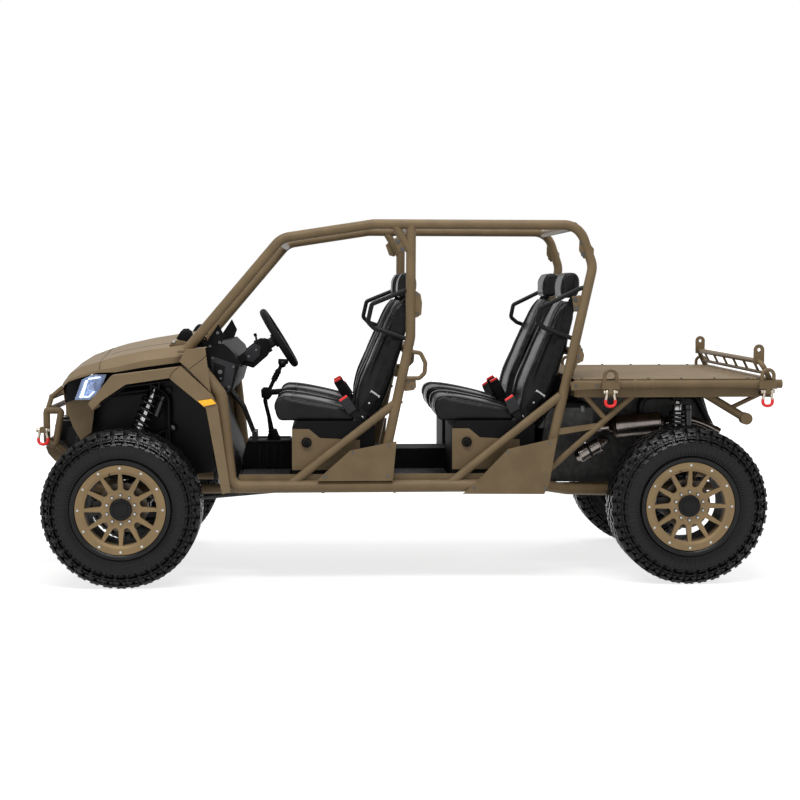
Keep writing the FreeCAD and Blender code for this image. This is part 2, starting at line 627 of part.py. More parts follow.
def front_frame(frame, screen):
    """Tubes over the front rails that carry the hood and the shocks."""
    hoop = tube([(1255, RAIL_Y, RAIL_Z), (1255, RAIL_Y, 1000), (1640, RAIL_Y, 960), (1762, RAIL_Y, 640)],
                BAY_TUBE_RADIUS, 70)
    pieces = both_sides(hoop)
    for ear in shock_ears(FRONT_SHOCK_TOP, RAIL_Y + 5):
        pieces += both_sides(ear)
    for x, z in ((1255, 985), (1255, 620), (1625, 955)):
        pieces.append(rod(V(x, -RAIL_Y, z), V(x, RAIL_Y, z), 17.0))
    pieces += both_sides(rod(V(1680, RAIL_Y, 830), V(1741, RAIL_Y, 830), 12.0))
    pieces += both_sides(side_plate(FRONT_BAY_WALL, BAY_WALL_Y, BAY_WALL_Y + PANEL))
    return less(fused(pieces), [frame, screen])


def rear_frame(frame):
    """Tubes round the engine bay that carry the deck and the rear shocks."""
    hoop = tube([(-1290, RAIL_Y, RAIL_Z), (-1290, RAIL_Y, BAY_TOP_Z), (-1590, RAIL_Y, BAY_TOP_Z),
                 (-1700, RAIL_Y, 730), (-1705, RAIL_Y, RAIL_Z)], BAY_TUBE_RADIUS, 60)
    pieces = both_sides(hoop)
    for ear in shock_ears(REAR_SHOCK_TOP, RAIL_Y + 5):
        pieces += both_sides(ear)
    for x in (-1350, -1530):
        pieces.append(rod(V(x, -RAIL_Y, BAY_TOP_Z), V(x, RAIL_Y, BAY_TOP_Z), 17.0))
    return less(fused(pieces), [frame])


def cage_side(frame):
    """Left side of the roll cage: hoop, middle pillar with its gusset, and two door braces."""
    hoop = tube(HOOP_POINTS, CAGE_RADIUS, CAGE_BEND)
    pillar = tube([(-28, 588, 1858), (-24, 604, 1280), (142, 652, ROCKER_Z)], CAGE_RADIUS, 120)
    gusset = rod(V(58, 588, 1858), V(-26, 592, 1716), 22.0)
    front_brace = rod(V(612, 656, ROCKER_Z), V(28, 622, 960), BRACE_RADIUS)
    rear_brace = rod(V(-212, 656, ROCKER_Z), V(-800, 634, 975), BRACE_RADIUS)
    handle = tube([(-10, 610, 1206), (-76, 610, 1198), (-101, 610, 1146), (-97, 612, 1094), (-70, 614, 1067),
                   (18, 616, 1067)], HANDLE_RADIUS, 22)
    pad = side_plate([(-30, 1528), (-54, 1517), (-76, 1501), (-84, 1456), (-80, 1396), (-60, 1382), (-28, 1376)],
                     601, 607)
    tab = side_plate([(22, 1072), (-50, 1068), (-53, 1021), (-40, 1005), (4, 1000), (30, 1022)], 611, 617)
    knee = side_plate([(-888, 1250), (-906, 1238), (-926, 1186), (-920, 1154), (-890, 1140), (-874, 1104),
                       (-870, 1074), (-838, 1072), (-846, 1110)], 622, 628)
    return less(fused([hoop, pillar, gusset, front_brace, rear_brace, handle, pad, tab, knee]), [frame])


def cage_cross_bars(cage):
    """Bars that join the two sides of the cage."""
    bars = []
    for x, z in ((648, 1776), (-28, 1857), (-872, 1850), (-14, 1200), (-868, 1200)):
        bars.append(less(rod(V(x, -600, z), V(x, 600, z), BRACE_RADIUS), cage))
    return [max(bar.Solids, key=lambda solid: solid.Volume) for bar in bars]


def floor_pan():
    """Flat floor between the sills, with an upturned edge all round."""
    half = ROCKER_Y - ROCKER_RADIUS - 3
    tray = box(-698, 880, -half, half, FLOOR_BOTTOM, FLOOR_BOTTOM + 34)
    hollow = box(-694, 876, -half + 4, half - 4, FLOOR_TOP, FLOOR_BOTTOM + 40)
    return less(tray, [hollow])


def sill_trim(obstacles):
    """Upright strips along the top of the left sill, between the feet of the cage tubes."""
    strip = box(-560, 862, 640, 645, ROCKER_Z + 20, 574)
    return [solid for solid in less(strip, obstacles).Solids if solid.Volume > 20000]


# ---------------------------------------------------------------- bodywork
def bent_sheet(path, thickness, y0, y1):
    """A folded sheet that follows a path in X and Z, with its thickness on the path's left."""
    offset = []
    count = len(path)
    for index, (x, z) in enumerate(path):
        normals = []
        for a, b in ((index - 1, index), (index, index + 1)):
            if 0 <= a and b < count:
                dx = path[b][0] - path[a][0]
                dz = path[b][1] - path[a][1]
                run = math.hypot(dx, dz)
                normals.append((-dz / run, dx / run))
        nx = sum(n[0] for n in normals) / len(normals)
        nz = sum(n[1] for n in normals) / len(normals)
        scale = thickness / (nx * nx + nz * nz)
        offset.append((x + nx * scale, z + nz * scale))
    return side_plate(list(path) + offset[::-1], y0, y1)


def lofted_cover(sections, thickness):
    """A hollow cover through a few cross-sections, open underneath.

    Each section is (x, centre z, shoulder y, shoulder z, crease y, crease z, hem y, hem z)."""
    def skin(inset, drop):
        wires = []
        for x, top, y1, z1, y2, z2, y3, z3 in sections:
            half = [(0, top - drop), (y1 - inset, z1 - drop), (y2 - inset, z2 - drop),
                    (y3 - inset, z3 - (drop * 4))]
            outline = [(-y, z) for y, z in half[:0:-1]] + half
            points = [V(x, y, z) for y, z in outline]
            wires.append(Part.makePolygon(points + [points[0]]))
        return Part.makeLoft(wires, True, True)
    return less(skin(0, 0), [skin(thickness, thickness)])


def hood():
    return lofted_cover(HOOD_SECTIONS, PANEL)


def nose_cap():
    return lofted_cover(NOSE_SECTIONS, PANEL)


def nose_panels():
    """Side cheeks, the front plate with its opening, and the plates under the lamps."""
    cheek = side_plate([NOSE_LOW, NOSE_MIDDLE, (1768, 945), (1750, 1015), (1660, 1015), (1640, 960),
                        (1619, 946), (1600, 912), (1633, 892), (1650, 773), (1707, 733)], NOSE_HALF_WIDTH, 411)
    front = bent_sheet([NOSE_LOW, NOSE_MIDDLE, NOSE_HIGH], NOSE_PLATE, -NOSE_HALF_WIDTH, NOSE_HALF_WIDTH)
    opening = box(1700, 1830, -GRILLE_OPENING, GRILLE_OPENING, 820, 985)
    corners = [V(LIP_X, y, z) for y, z in ((-368, 1000), (-368, 1030), (0, 1057), (368, 1030), (368, 1000))]
    lip = Part.Face(Part.makePolygon(corners + [corners[0]])).extrude(V(NOSE_PLATE - 0.4, 0, 0))
    return [fused(both_sides(cheek) + [less(front, [opening]), lip])]


def grille():
    """Slatted screen behind the nose opening."""
    path = [(x - NOSE_PLATE - 1, z) for x, z in (NOSE_LOW, NOSE_MIDDLE, NOSE_HIGH)]
    edge = GRILLE_OPENING + 20
    screen = bent_sheet(path, 10, -edge, edge)
    windows = []
    for z in range(GRILLE_SLATS_LOW, GRILLE_SLATS_HIGH, GRILLE_SLAT_PITCH):
        for y in (-300, -150, 0, 150):
            windows.append(box(1690, 1830, y + 5, y + 145, z, z + GRILLE_SLAT_PITCH - 8))
    return less(screen, windows)


def front_fender(frame):
    """Left front fender: face plate over the arch and leg, and the skin along its top."""
    top_edge = [(1619, 948), (1500, 1090), (1148, 1134), (995, 993), (963, 928), (902, 491)]
    arch_edge = [(1597, 916), (1552, 961), (1428, 1045), (1209, 1077), (1023, 920), (946, 481)]
    face = side_plate(top_edge + arch_edge[::-1], 706, 712)
    skin = bent_sheet(top_edge[:5], 5, 600, 706)
    leg = bent_sheet(top_edge[4:], 5, ROCKER_Y + ROCKER_RADIUS + CLEARANCE, 706)
    quarter = side_plate([(1126, 1132), (1156, 1159), (1128, 1216), (1026, 1228), (1000, 1004)], 686, 692)
    shelf = bent_sheet([(1158, 1160), (1128, 1219), (1026, 1231)], 5, 560, 692)
    return less(fused([face, skin, leg, quarter, shelf]), [frame, tube(HOOP_POINTS, CAGE_RADIUS + 3, CAGE_BEND)])


def fender_liner():
    """Left inner wheel-arch panel behind and over the front tyre."""
    return bent_sheet([(985, 540), (1010, 900), (1195, 1060), (1430, 1030), (1560, 942)], 4, 340, 705.7)


def headlamp():
    return side_plate([(1715, 953), (1632, 955), (1586, 1000), (1545, 1088), (1606, 1088), (1642, 1077), (1675, 1061)],
                      470, 545)


def lamp_housing():
    """Black tray behind and inboard of the headlamp."""
    return side_plate([(1774, 936), (1722, 951), (1715, 953), (1632, 955), (1570, 1045), (1574, 1086), (1606, 1086),
                       (1642, 1076), (1684, 1064), (1742, 1044), (1762, 1034), (1777, 958)], 411, 469.7)


def turn_lens():
    return side_plate([(1065, 961), (994, 971), (969, 946), (1035, 931)], 712.3, 720)


# ---------------------------------------------------------------- nose gear
def front_bumper(frame):
    """Two side loops, cross tubes and a brush guard over the nose."""
    pieces = []
    loop = tube([(1850, BUMPER_Y, 885), (1893, BUMPER_Y, 885), (1893, BUMPER_Y, 715), (1850, BUMPER_Y, 700),
                 (1815, BUMPER_Y, 885), (1852, BUMPER_Y, 885)], BUMPER_RADIUS, 15)
    guard = tube([(1893, BUMPER_Y - 20, 880), (1872, BUMPER_Y - 40, 955), (1812, BUMPER_Y - 40, 1006)], 13.0, 40)
    stay = rod(V(1850, BUMPER_Y - 5, 705), V(1785, RAIL_Y, 640), 16.0)
    lug = box(1893, 1921, BUMPER_Y, BUMPER_Y + 50, 770, 800)
    eye = rod(V(1880, BUMPER_Y + 34, 783), V(1930, BUMPER_Y + 34, 783), SHACKLE_ROD_RADIUS + CLEARANCE)
    for piece in (loop, guard, stay, lug):
        pieces += both_sides(piece)
    for x, z, half in ((1893, 885, BUMPER_Y), (1893, 715, BUMPER_Y), (1872, 955, BUMPER_Y - 40)):
        pieces.append(rod(V(x, -half, z), V(x, half, z), BUMPER_RADIUS - 3))
    return less(fused(pieces), [frame] + both_sides(eye))


def shackle(x, y, pin_z):
    """A bow shackle hanging from a lug: the bow, and the pin that runs through the lug."""
    bow = tube([(x - SHACKLE_HALF_WIDTH, y, pin_z), (x - SHACKLE_HALF_WIDTH, y, pin_z - SHACKLE_DROP),
                (x + SHACKLE_HALF_WIDTH, y, pin_z - SHACKLE_DROP), (x + SHACKLE_HALF_WIDTH, y, pin_z)],
               SHACKLE_ROD_RADIUS, SHACKLE_HALF_WIDTH - 1)
    pin = rod(V(x - SHACKLE_HALF_WIDTH - 12, y, pin_z), V(x + SHACKLE_HALF_WIDTH + 12, y, pin_z),
              SHACKLE_ROD_RADIUS)
    return fused([bow, pin])


def winch(obstacles):
    """Winch behind the bumper: drum, two end housings and the plate that carries them."""
    plate = box(1796, 1893, -150, 150, 704, 710)
    pieces = [plate, rod(V(1836, -80, 760), V(1836, 80, 760), 34.0), box(1790, 1882, 78, 140, 705, 812),
              box(1790, 1882, -140, -78, 705, 812)]
    return less(fused(pieces), obstacles)


def tail_lamp():
    """Left tail lamp on the rear face of the deck's last channel."""
    return box(DECK_REAR_X, DECK_REAR_X + 5.7, 480, 590, 980, 1018)


def skid_plate(bumper):
    """Bent plate under the nose, with a cheek at each end of its upturned front."""
    edge = RAIL_Y + 20
    sheet = bent_sheet([(1612, 425.7), (1665.4, 425.7), (1800, 610), (1858, 612), (1893, 652), (1907, 690)], 5,
                       -edge, edge)
    cheek = side_plate([(1802, 609), (1858, 612), (1893, 652), (1905, 688), (1880, 697), (1840, 684), (1826, 680)],
                       edge - 5, edge)
    return less(fused([sheet] + both_sides(cheek)), [bumper])


# ---------------------------------------------------------------- cabin
def dashboard():
    """Dashboard across the cabin, with a gusset plate at each end behind the front pillars."""
    body = side_plate([(1030, 1224), (1022, 1184), (1008, 1023), (935, 970), (900, 1000), (862, 1132), (892, 1200),
                       (940, 1245)], -558, 558)
    gusset = side_plate([(1041, 1239), (968, 1347), (938, 1286), (959, 1229), (1012, 1198)], 545, 552)
    bracket = box(990, 1020, 550, 640, 1075, 1115)
    return fused([body] + both_sides(gusset) + both_sides(bracket))


def firewall():
    """Sheet that closes the footwells, from the floor up to the underside of the dashboard."""
    return bent_sheet([(1000, 1030), (996, 900), (972, 800), (905, 640), (880.3, FLOOR_TOP)], PANEL, -560, 560)


def rear_bulkhead():
    """Sheet behind the rear seats, from the floor up to the front of the deck."""
    return bent_sheet([(-698.3, FLOOR_TOP), (-698.3, 620), (-735, 870), (-838, 1060)], PANEL, -560, 560)


def centre_tunnel():
    return side_plate([(874, FLOOR_TOP), (874, 600), (850, 690), (604, 690), (590, 650), (-690, 650),
                       (-690, FLOOR_TOP)], -TUNNEL_HALF_WIDTH, TUNNEL_HALF_WIDTH)


def row_piece(shape, shift, side):
    """A piece of the front left place moved to another row and side."""
    piece = shape.copy()
    piece.translate(V(shift, 0, 0))
    return piece if side > 0 else mirrored(piece)


def all_places(make):
    """A piece of the front left seat made for every seat; make takes the row's recline."""
    return [row_piece(make(recline), shift, side) for _, shift, recline in SEAT_ROWS for _, side in SIDES]


def seat_box(_recline):
    return side_plate([(160, FLOOR_TOP), (160, 845), (560, 845), (590, 810), (590, FLOOR_TOP)],
                      TUNNEL_HALF_WIDTH, STORAGE_Y - CLEARANCE)


def storage_panel(_recline):
    panel = side_plate([(590, 591), (590, 805), (502, 804), (445, 757), (238, 746), (238, 591)],
                       STORAGE_Y, STORAGE_Y + 6)
    knob = rod(V(515, STORAGE_Y + 6, 739), V(515, STORAGE_Y + 14, 739), 20.0)
    return fused([panel, knob])


def seat_cushion(_recline):
    low = SEAT_Y - SEAT_WIDTH / 2
    return side_plate([(264, 845.3), (264, 905), (420, 945), (560, 975), (640, 984), (680, 965),
                       (690, 925), (675, 860), (655, 845.3)], low, low + SEAT_WIDTH)


def recline_shift(z, recline):
    """How far back a point of a seat back lies at a recline, nothing at its foot."""
    return recline * min(1.0, (z - BACK_OUTLINE[0][1]) / 110)


def seat_back(recline):
    low = SEAT_Y - SEAT_WIDTH / 2
    outline = [(x - recline_shift(z, recline), z) for x, z in BACK_OUTLINE]
    back = side_plate(outline, low, low + SEAT_WIDTH)
    wedges = []
    for end in (-1, 1):
        edge = SEAT_Y + end * SEAT_WIDTH / 2
        corner = [V(-60, edge, 1230), V(-60, edge, 1500), V(-60, edge - end * 80, 1500)]
        wedges.append(Part.Face(Part.makePolygon(corner + [corner[0]])).extrude(V(320, 0, 0)))
    return less(back, wedges)


def headrest(recline):
    outline = [(x - recline, z) for x, z in HEADREST_OUTLINE]
    return side_plate(outline, SEAT_Y - 135, SEAT_Y + 135)


def buckle(recline):
    """Belt buckle on its stalk beside the tunnel, held off the seat box by a spacer."""
    near = TUNNEL_HALF_WIDTH - 32
    stalk = side_plate([(203, 795), (229, 788), (270 - recline, 893), (244 - recline, 903)], near + 8, near + 14)
    body = side_plate([(236 - recline, 897), (276 - recline, 877), (325 - recline, 969), (287 - recline, 990)],
                      near, near + 21)
    spacer = rod(V(216, near + 14, 800), V(216, TUNNEL_HALF_WIDTH - CLEARANCE, 800), 10.0)
    return fused([stalk, body, spacer])


def lap_strap(recline):
    """Lap belt along the outer side of a seat, standing on the seat box."""
    outer = SEAT_Y + SEAT_WIDTH / 2 + CLEARANCE
    return side_plate([(212, 845.3), (246, 845.3), (196, 930 + recline / 4), (180 - recline, 1000),
                       (132 - recline, 986), (158 - recline, 915)], outer, outer + 4)


def shoulder_guard(row_shift):
    """Left tube loop beside a seat back, from pillar to pillar."""
    if row_shift == 0:
        points = [(-26, 600, 1527), (10, 596, 1517), (175, 590, 1450), (196, 590, 1358), (165, 590, 1327),
                  (0, 602, 1272)]
    else:
        points = [(-944, 596, 1540), (-901, 596, 1528), (-699, 590, 1430), (-684, 590, 1357),
                  (-720, 590, 1326), (-884, 604, 1265)]
    return tube(points, 12.0, 22)


def steering_wheel():
    """Rim, hub and three spokes, in the tilted plane of the wheel."""
    rim_ring = Part.makeTorus(STEERING_WHEEL_RADIUS - STEERING_GRIP_RADIUS, STEERING_GRIP_RADIUS)
    hub = Part.makeCylinder(38, 44, V(0, 0, -34))
    spokes = []
    for angle in (0, 180, 270):
        spoke = box(20, STEERING_WHEEL_RADIUS - STEERING_GRIP_RADIUS, -14, 14, -8, 4)
        spoke.rotate(V(0, 0, 0), V(0, 0, 1), angle)
        spokes.append(spoke)
    wheel = fused([rim_ring, hub] + spokes)
    wheel.rotate(V(0, 0, 0), V(0, 0, 1), 90)
    wheel.rotate(V(0, 0, 0), V(0, 1, 0), -STEERING_TILT)
    wheel.translate(STEERING_WHEEL_CENTRE)
    return wheel


def steering_column(dash):
    """Column shroud between the steering wheel and the dashboard."""
    down = steering_axis() * -1
    start = STEERING_WHEEL_CENTRE + down * (34 + CLEARANCE)
    column = rod(start, start + down * 230, COLUMN_RADIUS)
    shroud = rod(start + down * 30, start + down * 150, COLUMN_RADIUS + 14)
    return less(fused([column, shroud]), [dash])


def steering_axis():
    tilt = math.radians(STEERING_TILT)
    return V(-math.sin(tilt), 0, math.cos(tilt))


def driver_controls(dash):
    """Two pedals that hang from the dashboard and the shift lever on the tunnel."""
    pieces = []
    for y in (290, 385):
        arm = tube([(930, y, 1000), (853, y, 905), (802, y, 770)], 9.0, 40)
        pad = box(780, 806, y - 28, y + 28, 720, 775)
        pieces.append(less(fused([arm, pad]), [dash]))
    lever_boot = V(704, 0, FLOOR_TOP + 186.3)
    lever = tube([(704, 0, 690.3), (725, 0, 787), (755, 0, 911), (713, 0, 1003), (664, 0, 1100)], 11.0, 30)
    knob = Part.makeSphere(22, V(656, 0, 1112))
    boot = Part.makeCone(36, 14, 60, lever_boot)
    below = box(650, 760, -60, 60, 600, lever_boot.z)
    pieces.append(less(fused([lever, knob, boot]), [below]))
    return pieces


def kick_panel(row_shift, obstacles):
    """Left tan plate over the foot of a pillar, seated on the sill by a return flange."""
    outline, flange_from, flange_to = KICK_PANELS[row_shift]
    outer = ROCKER_Y + ROCKER_RADIUS
    plate = side_plate(outline, outer + 1, outer + 6)
    top = ROCKER_Z + ROCKER_RADIUS + CLEARANCE
    flange = box(flange_from, flange_to, ROCKER_Y, outer + 6, top, top + 5)
    return less(fused([plate, flange]), obstacles)


# ---------------------------------------------------------------- cargo deck
def cargo_deck():
    """The main deck plate, and the narrow plate behind it that the rack stands on."""
    bottom = DECK_TOP - DECK_THICKNESS
    plates = ((DECK_SEAM_X + CLEARANCE, DECK_FRONT_X), (DECK_REAR_X, DECK_SEAM_X))
    return [box(x0, x1, -DECK_HALF_WIDTH, DECK_HALF_WIDTH, bottom, DECK_TOP) for x0, x1 in plates]


def tie_down_bracket(x):
    """Block on the left deck tube that holds a loop above and a shackle lug below."""
    block = box(x - 45, x + 45, DECK_TUBE_Y, TIE_DOWN_Y + 12, DECK_TUBE_Z - 24, DECK_TUBE_Z + 16)
    lug = box(x - 12, x + 12, TIE_DOWN_Y - 12, TIE_DOWN_Y + 12, DECK_TUBE_Z - 50, DECK_TUBE_Z - 20)
    bore = rod(V(x - 30, TIE_DOWN_Y, SHACKLE_PIN_Z), V(x + 30, TIE_DOWN_Y, SHACKLE_PIN_Z),
               SHACKLE_ROD_RADIUS + CLEARANCE)
    return less(fused([block, lug]), [bore])


def deck_frame(obstacles):
    """Deck tubes, channels, tie-down brackets and the struts down to the sill and pillar."""
    left = [rod(V(DECK_FRONT_X, DECK_TUBE_Y, DECK_TUBE_Z), V(DECK_TUBE_REAR_X, DECK_TUBE_Y, DECK_TUBE_Z),
                DECK_TUBE_RADIUS)]
    left.append(box(CHANNEL_REAR_X, -880, CHANNEL_Y - 20, CHANNEL_Y + 34, BAY_TOP_Z + BAY_TUBE_RADIUS, DECK_TUBE_Z - 8))
    left += [tie_down_bracket(x) for x in TIE_DOWN_X]
    for start, end, radius in (
        ((-918, CHANNEL_Y, 990), (-1039, CHANNEL_Y, 850), 14.0),
        ((-1196, CHANNEL_Y, 990), (-722, CHANNEL_Y, 572), 16.0),
        ((CHANNEL_REAR_X + 270, HITCH_Y, 985), (CHANNEL_REAR_X + 50, HITCH_Y, 853), 22.0),
        ((CHANNEL_REAR_X - 40, HITCH_Y, 985), (CHANNEL_REAR_X + 114, HITCH_Y, 912), 12.0),
    ):
        left.append(rod(V(*start), V(*end), radius))
    left.append(rod(V(CHANNEL_REAR_X + 46, HITCH_Y - 25, 850), V(CHANNEL_REAR_X + 46, HITCH_Y + 25, 850), 31.0))
    left.append(side_plate([(-766, 768), (-1020, 810), (-1026, 836), (-770, 802)], CHANNEL_Y - 12, CHANNEL_Y + 12))
    pieces = []
    for piece in left:
        pieces += both_sides(piece)
    channel_z = BAY_TOP_Z + BAY_TUBE_RADIUS
    for x in (-895, -1290, CHANNEL_REAR_X + 130, CHANNEL_REAR_X - 50):
        reach = DECK_TUBE_Y if x < CHANNEL_REAR_X else CHANNEL_Y
        pieces.append(box(x - 20, x + 20, -reach, reach, channel_z, DECK_TUBE_Z - 8))
    return less(fused(pieces), obstacles)


def tie_down_loop(x):
    """Upright U-shaped lashing loop on its bracket."""
    foot = DECK_TUBE_Z + 16 + CLEARANCE
    half = TIE_DOWN_LOOP_RADIUS - TIE_DOWN_ROD_RADIUS
    top = foot + 58
    return tube([(x - half, TIE_DOWN_Y, foot), (x - half, TIE_DOWN_Y, top), (x + half, TIE_DOWN_Y, top),
                 (x + half, TIE_DOWN_Y, foot)], TIE_DOWN_ROD_RADIUS, half - 1)


def rear_rack():
    """Leaning rail across the rear of the deck, with slats, a lower bar and two bored tabs."""
    hoop = tube([(RACK_FOOT_X, RACK_HALF_WIDTH + 45, DECK_TOP), (RACK_TOP_X, RACK_HALF_WIDTH + 45, RACK_TOP_Z),
                 (RACK_TOP_X, -RACK_HALF_WIDTH - 45, RACK_TOP_Z),
                 (RACK_FOOT_X, -RACK_HALF_WIDTH - 45, DECK_TOP)], 14.0, 50)
    low_x = RACK_FOOT_X + (RACK_TOP_X - RACK_FOOT_X) * (RACK_LOW_Z - DECK_TOP) / (RACK_TOP_Z - DECK_TOP)
    pieces = [hoop, rod(V(low_x, -RACK_HALF_WIDTH - 40, RACK_LOW_Z), V(low_x, RACK_HALF_WIDTH + 40, RACK_LOW_Z), 9.0)]
    for index in range(RACK_SLATS):
        y = RACK_HALF_WIDTH * (2 * (index + 0.5) / RACK_SLATS - 1)
        slat = side_plate([(low_x - 4, RACK_LOW_Z), (low_x + 4, RACK_LOW_Z), (RACK_TOP_X + 4, RACK_TOP_Z),
                           (RACK_TOP_X - 4, RACK_TOP_Z)], y - 15, y + 15)
        pieces.append(slat)
    bores = []
    for y in (-RACK_HALF_WIDTH, RACK_HALF_WIDTH):
        half = RACK_TAB_THICKNESS / 2
        pieces.append(box(RACK_TOP_X - 28, RACK_TOP_X + 28, y - half, y + half, RACK_TOP_Z - 16, RACK_TAB_HOLE_Z))
        pieces.append(rod(V(RACK_TOP_X, y - half, RACK_TAB_HOLE_Z), V(RACK_TOP_X, y + half, RACK_TAB_HOLE_Z), 28.0))
        bores.append(rod(V(RACK_TOP_X, y - 20, RACK_TAB_HOLE_Z), V(RACK_TOP_X, y + 20, RACK_TAB_HOLE_Z),
                         RACK_TAB_HOLE_RADIUS))
    below = box(RACK_FOOT_X - 60, RACK_TOP_X + 60, -DECK_HALF_WIDTH, DECK_HALF_WIDTH, DECK_TOP - 60, DECK_TOP)
    return less(fused(pieces), bores + [below])


# ---------------------------------------------------------------- drive and exhaust
def engine(obstacles, bulkhead):
    """Engine with its head, gearbox, belt cover and transfer case, the walls beside it, and the air box."""
    bottom = RAIL_Z + CROSS_MEMBER_RADIUS + CLEARANCE
    pieces = [
        box(-1230, -930, -240, 240, bottom, 800),
        side_plate([(-1200, 790), (-960, 790), (-985, 900), (-1180, 900)], -190, 190),
        box(-1350, -1225, -130, 130, 520, 690),
        rod(V(-1000, -270, 640), V(-1000, -235, 640), 95.0),
        rod(V(-1165, -270, 665), V(-1165, -235, 665), 110.0),
        box(-1130, -1030, -60, 60, PROP_SHAFT_Z - 20, bottom + 5),
    ]
    wall = [(x, max(z, bottom)) for x, z in ENGINE_WALL]
    pieces += both_sides(side_plate(wall, 239, 239 + PANEL))
    shaft = rod(V(-1200, 0, PROP_SHAFT_Z), V(-960, 0, PROP_SHAFT_Z), PROP_SHAFT_RADIUS + CLEARANCE)
    air_box = side_plate([(-985, 800), (-985, 905), (-960, 930), (-780, 930), (-700, 800)], 330, 560)
    return [less(fused(pieces), obstacles + [shaft]), less(air_box, [bulkhead])]


def exhaust(block):
    """Muffler with its tailpipe, and the front can with its pipe."""
    muffler = rod(V(-1129, 385, 788), V(-1405, 385, 811), 62.0)
    tail = tube([(-1390, 345, 812), (-1436, 324, 820), (-1550, 324, 823), (-1640, 362, 794), (-1701, 385, 757)],
                22.0, 40)
    lead = rod(V(-1140, 385, 790), V(-1060, 385, 782), 20.0)
    elbow = tube([(-1070, 385, 783), (-1040, 365, 780), (-1010, 300, 770), (-1010, 236, 765)], 20.0, 25)
    can = rod(V(-914, 450, 631), V(-1058, 450, 710), 40.0)
    pipe = tube([(-1045, 450, 703), (-1085, 430, 716), (-1085, 236, 716)], 18.0, 20)
    return [less(fused([muffler, tail, lead, elbow]), [block]), less(fused([can, pipe]), [block])]


def main():
    os.makedirs("parts", exist_ok=True)
    save_wheels()
    frame = ladder_frame()
    screen = grille()
    bay_front = front_frame(frame, screen)
    bay_rear = rear_frame(frame)
    cage = cage_side(frame)
    cage_pair = both_sides(cage)
    dash = less(dashboard(), [frame])
    save("frame", [frame])
    save("front_frame", [bay_front])
    save("rear_frame", [bay_rear])
    save("cage_side_left", [cage_pair[0]])
    save("cage_side_right", [cage_pair[1]])
    save("cage_cross_bars", cage_cross_bars(cage_pair))
    save("floor_pan", [floor_pan()])

    save("hood", [hood()])
    save("nose_cap", [nose_cap()])
    save("nose_panels", nose_panels())
    save("grille", [screen] + both_sides(lamp_housing()))
    save("front_fenders", both_sides(front_fender(frame)))
    save("fender_liners", both_sides(fender_liner()))
    save("headlamps", both_sides(headlamp()))
    save("turn_lenses", both_sides(turn_lens()))
    bumper = front_bumper(frame)
    save("front_bumper", [bumper])
    save("winch", [winch([bumper, frame])])
    save("skid_plate", [skid_plate(bumper)])

    save("dashboard", [dash])
    save("centre_tunnel", [centre_tunnel()])
    save("seat_boxes", all_places(seat_box))
    save("storage_panels", all_places(storage_panel))
    save("seat_cushions", all_places(seat_cushion))
    save("seat_backs", all_places(seat_back))
    save("headrests", all_places(headrest))
    guards = [less(shoulder_guard(shift), [cage]) for _, shift, _ in SEAT_ROWS]
    save("seat_belts", all_places(buckle) + all_places(lap_strap))
    save("shoulder_guards", [shape for guard in guards for shape in both_sides(guard)])
    save("steering_wheel", [steering_wheel()])
    save("steering_column", [steering_column(dash)])
    save("driver_controls", driver_controls(dash))
    kicks = [kick_panel(shift, [frame, cage]) for _, shift, _ in SEAT_ROWS]
    sills = sill_trim([frame, cage] + kicks)
    save("sill_panels", [shape for piece in kicks + sills for shape in both_sides(piece)])

    save("cargo_deck", cargo_deck())
    save("deck_frame", [deck_frame([frame, bay_rear] + cage_pair + [kicks[1], mirrored(kicks[1])])])
    save("tail_lamps", both_sides(tail_lamp()))
    save("tie_down_loops", [shape for x in TIE_DOWN_X for shape in both_sides(tie_down_loop(x))])
    shackles = [shackle(x, TIE_DOWN_Y, SHACKLE_PIN_Z) for x in TIE_DOWN_X]
    shackles.append(shackle(1907, BUMPER_Y + 34, 783))
    save("shackles", [shape for piece in shackles for shape in both_sides(piece)])
    save("rear_rack", [rear_rack()])

    bulkhead = rear_bulkhead()
    save("inner_panels", [less(firewall(), [dash, frame]), bulkhead])
    motor = engine([bay_rear, frame], bulkhead)
    save("engine_block", motor)
    save("exhaust", exhaust(motor[0]))
    save("drivetrain", [fused([final_drive(FRONT_AXLE_X, 80), final_drive(REAR_AXLE_X, 120)] + prop_shaft())])
    arms = [shape for x in (FRONT_AXLE_X, REAR_AXLE_X) for arm in (upper_wishbone(x), lower_wishbone(x))
            for shape in both_sides(arm)]
    save("wishbones", arms)
    shocks = [shock(FRONT_SHOCK_TOP, shock_foot(FRONT_AXLE_X, FRONT_SHOCK_LEAN)),
              shock(REAR_SHOCK_TOP, shock_foot(REAR_AXLE_X, 0))]
    save("shocks", [shape for piece in shocks for shape in both_sides(piece)])
    save("rear_carriers", both_sides(rear_carrier()))
    save("knuckle_left", [front_knuckle()])
    save("knuckle_right", [mirrored(front_knuckle())])
    save("steering_rack", [steering_rack()])
    save("rack_housing", [rack_housing()])


main()
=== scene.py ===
import math
import bpy
from bpy.props import FloatProperty, FloatVectorProperty, IntProperty, PointerProperty
from bpy.types import Operator, Panel, PropertyGroup
from mathutils import Matrix, Vector


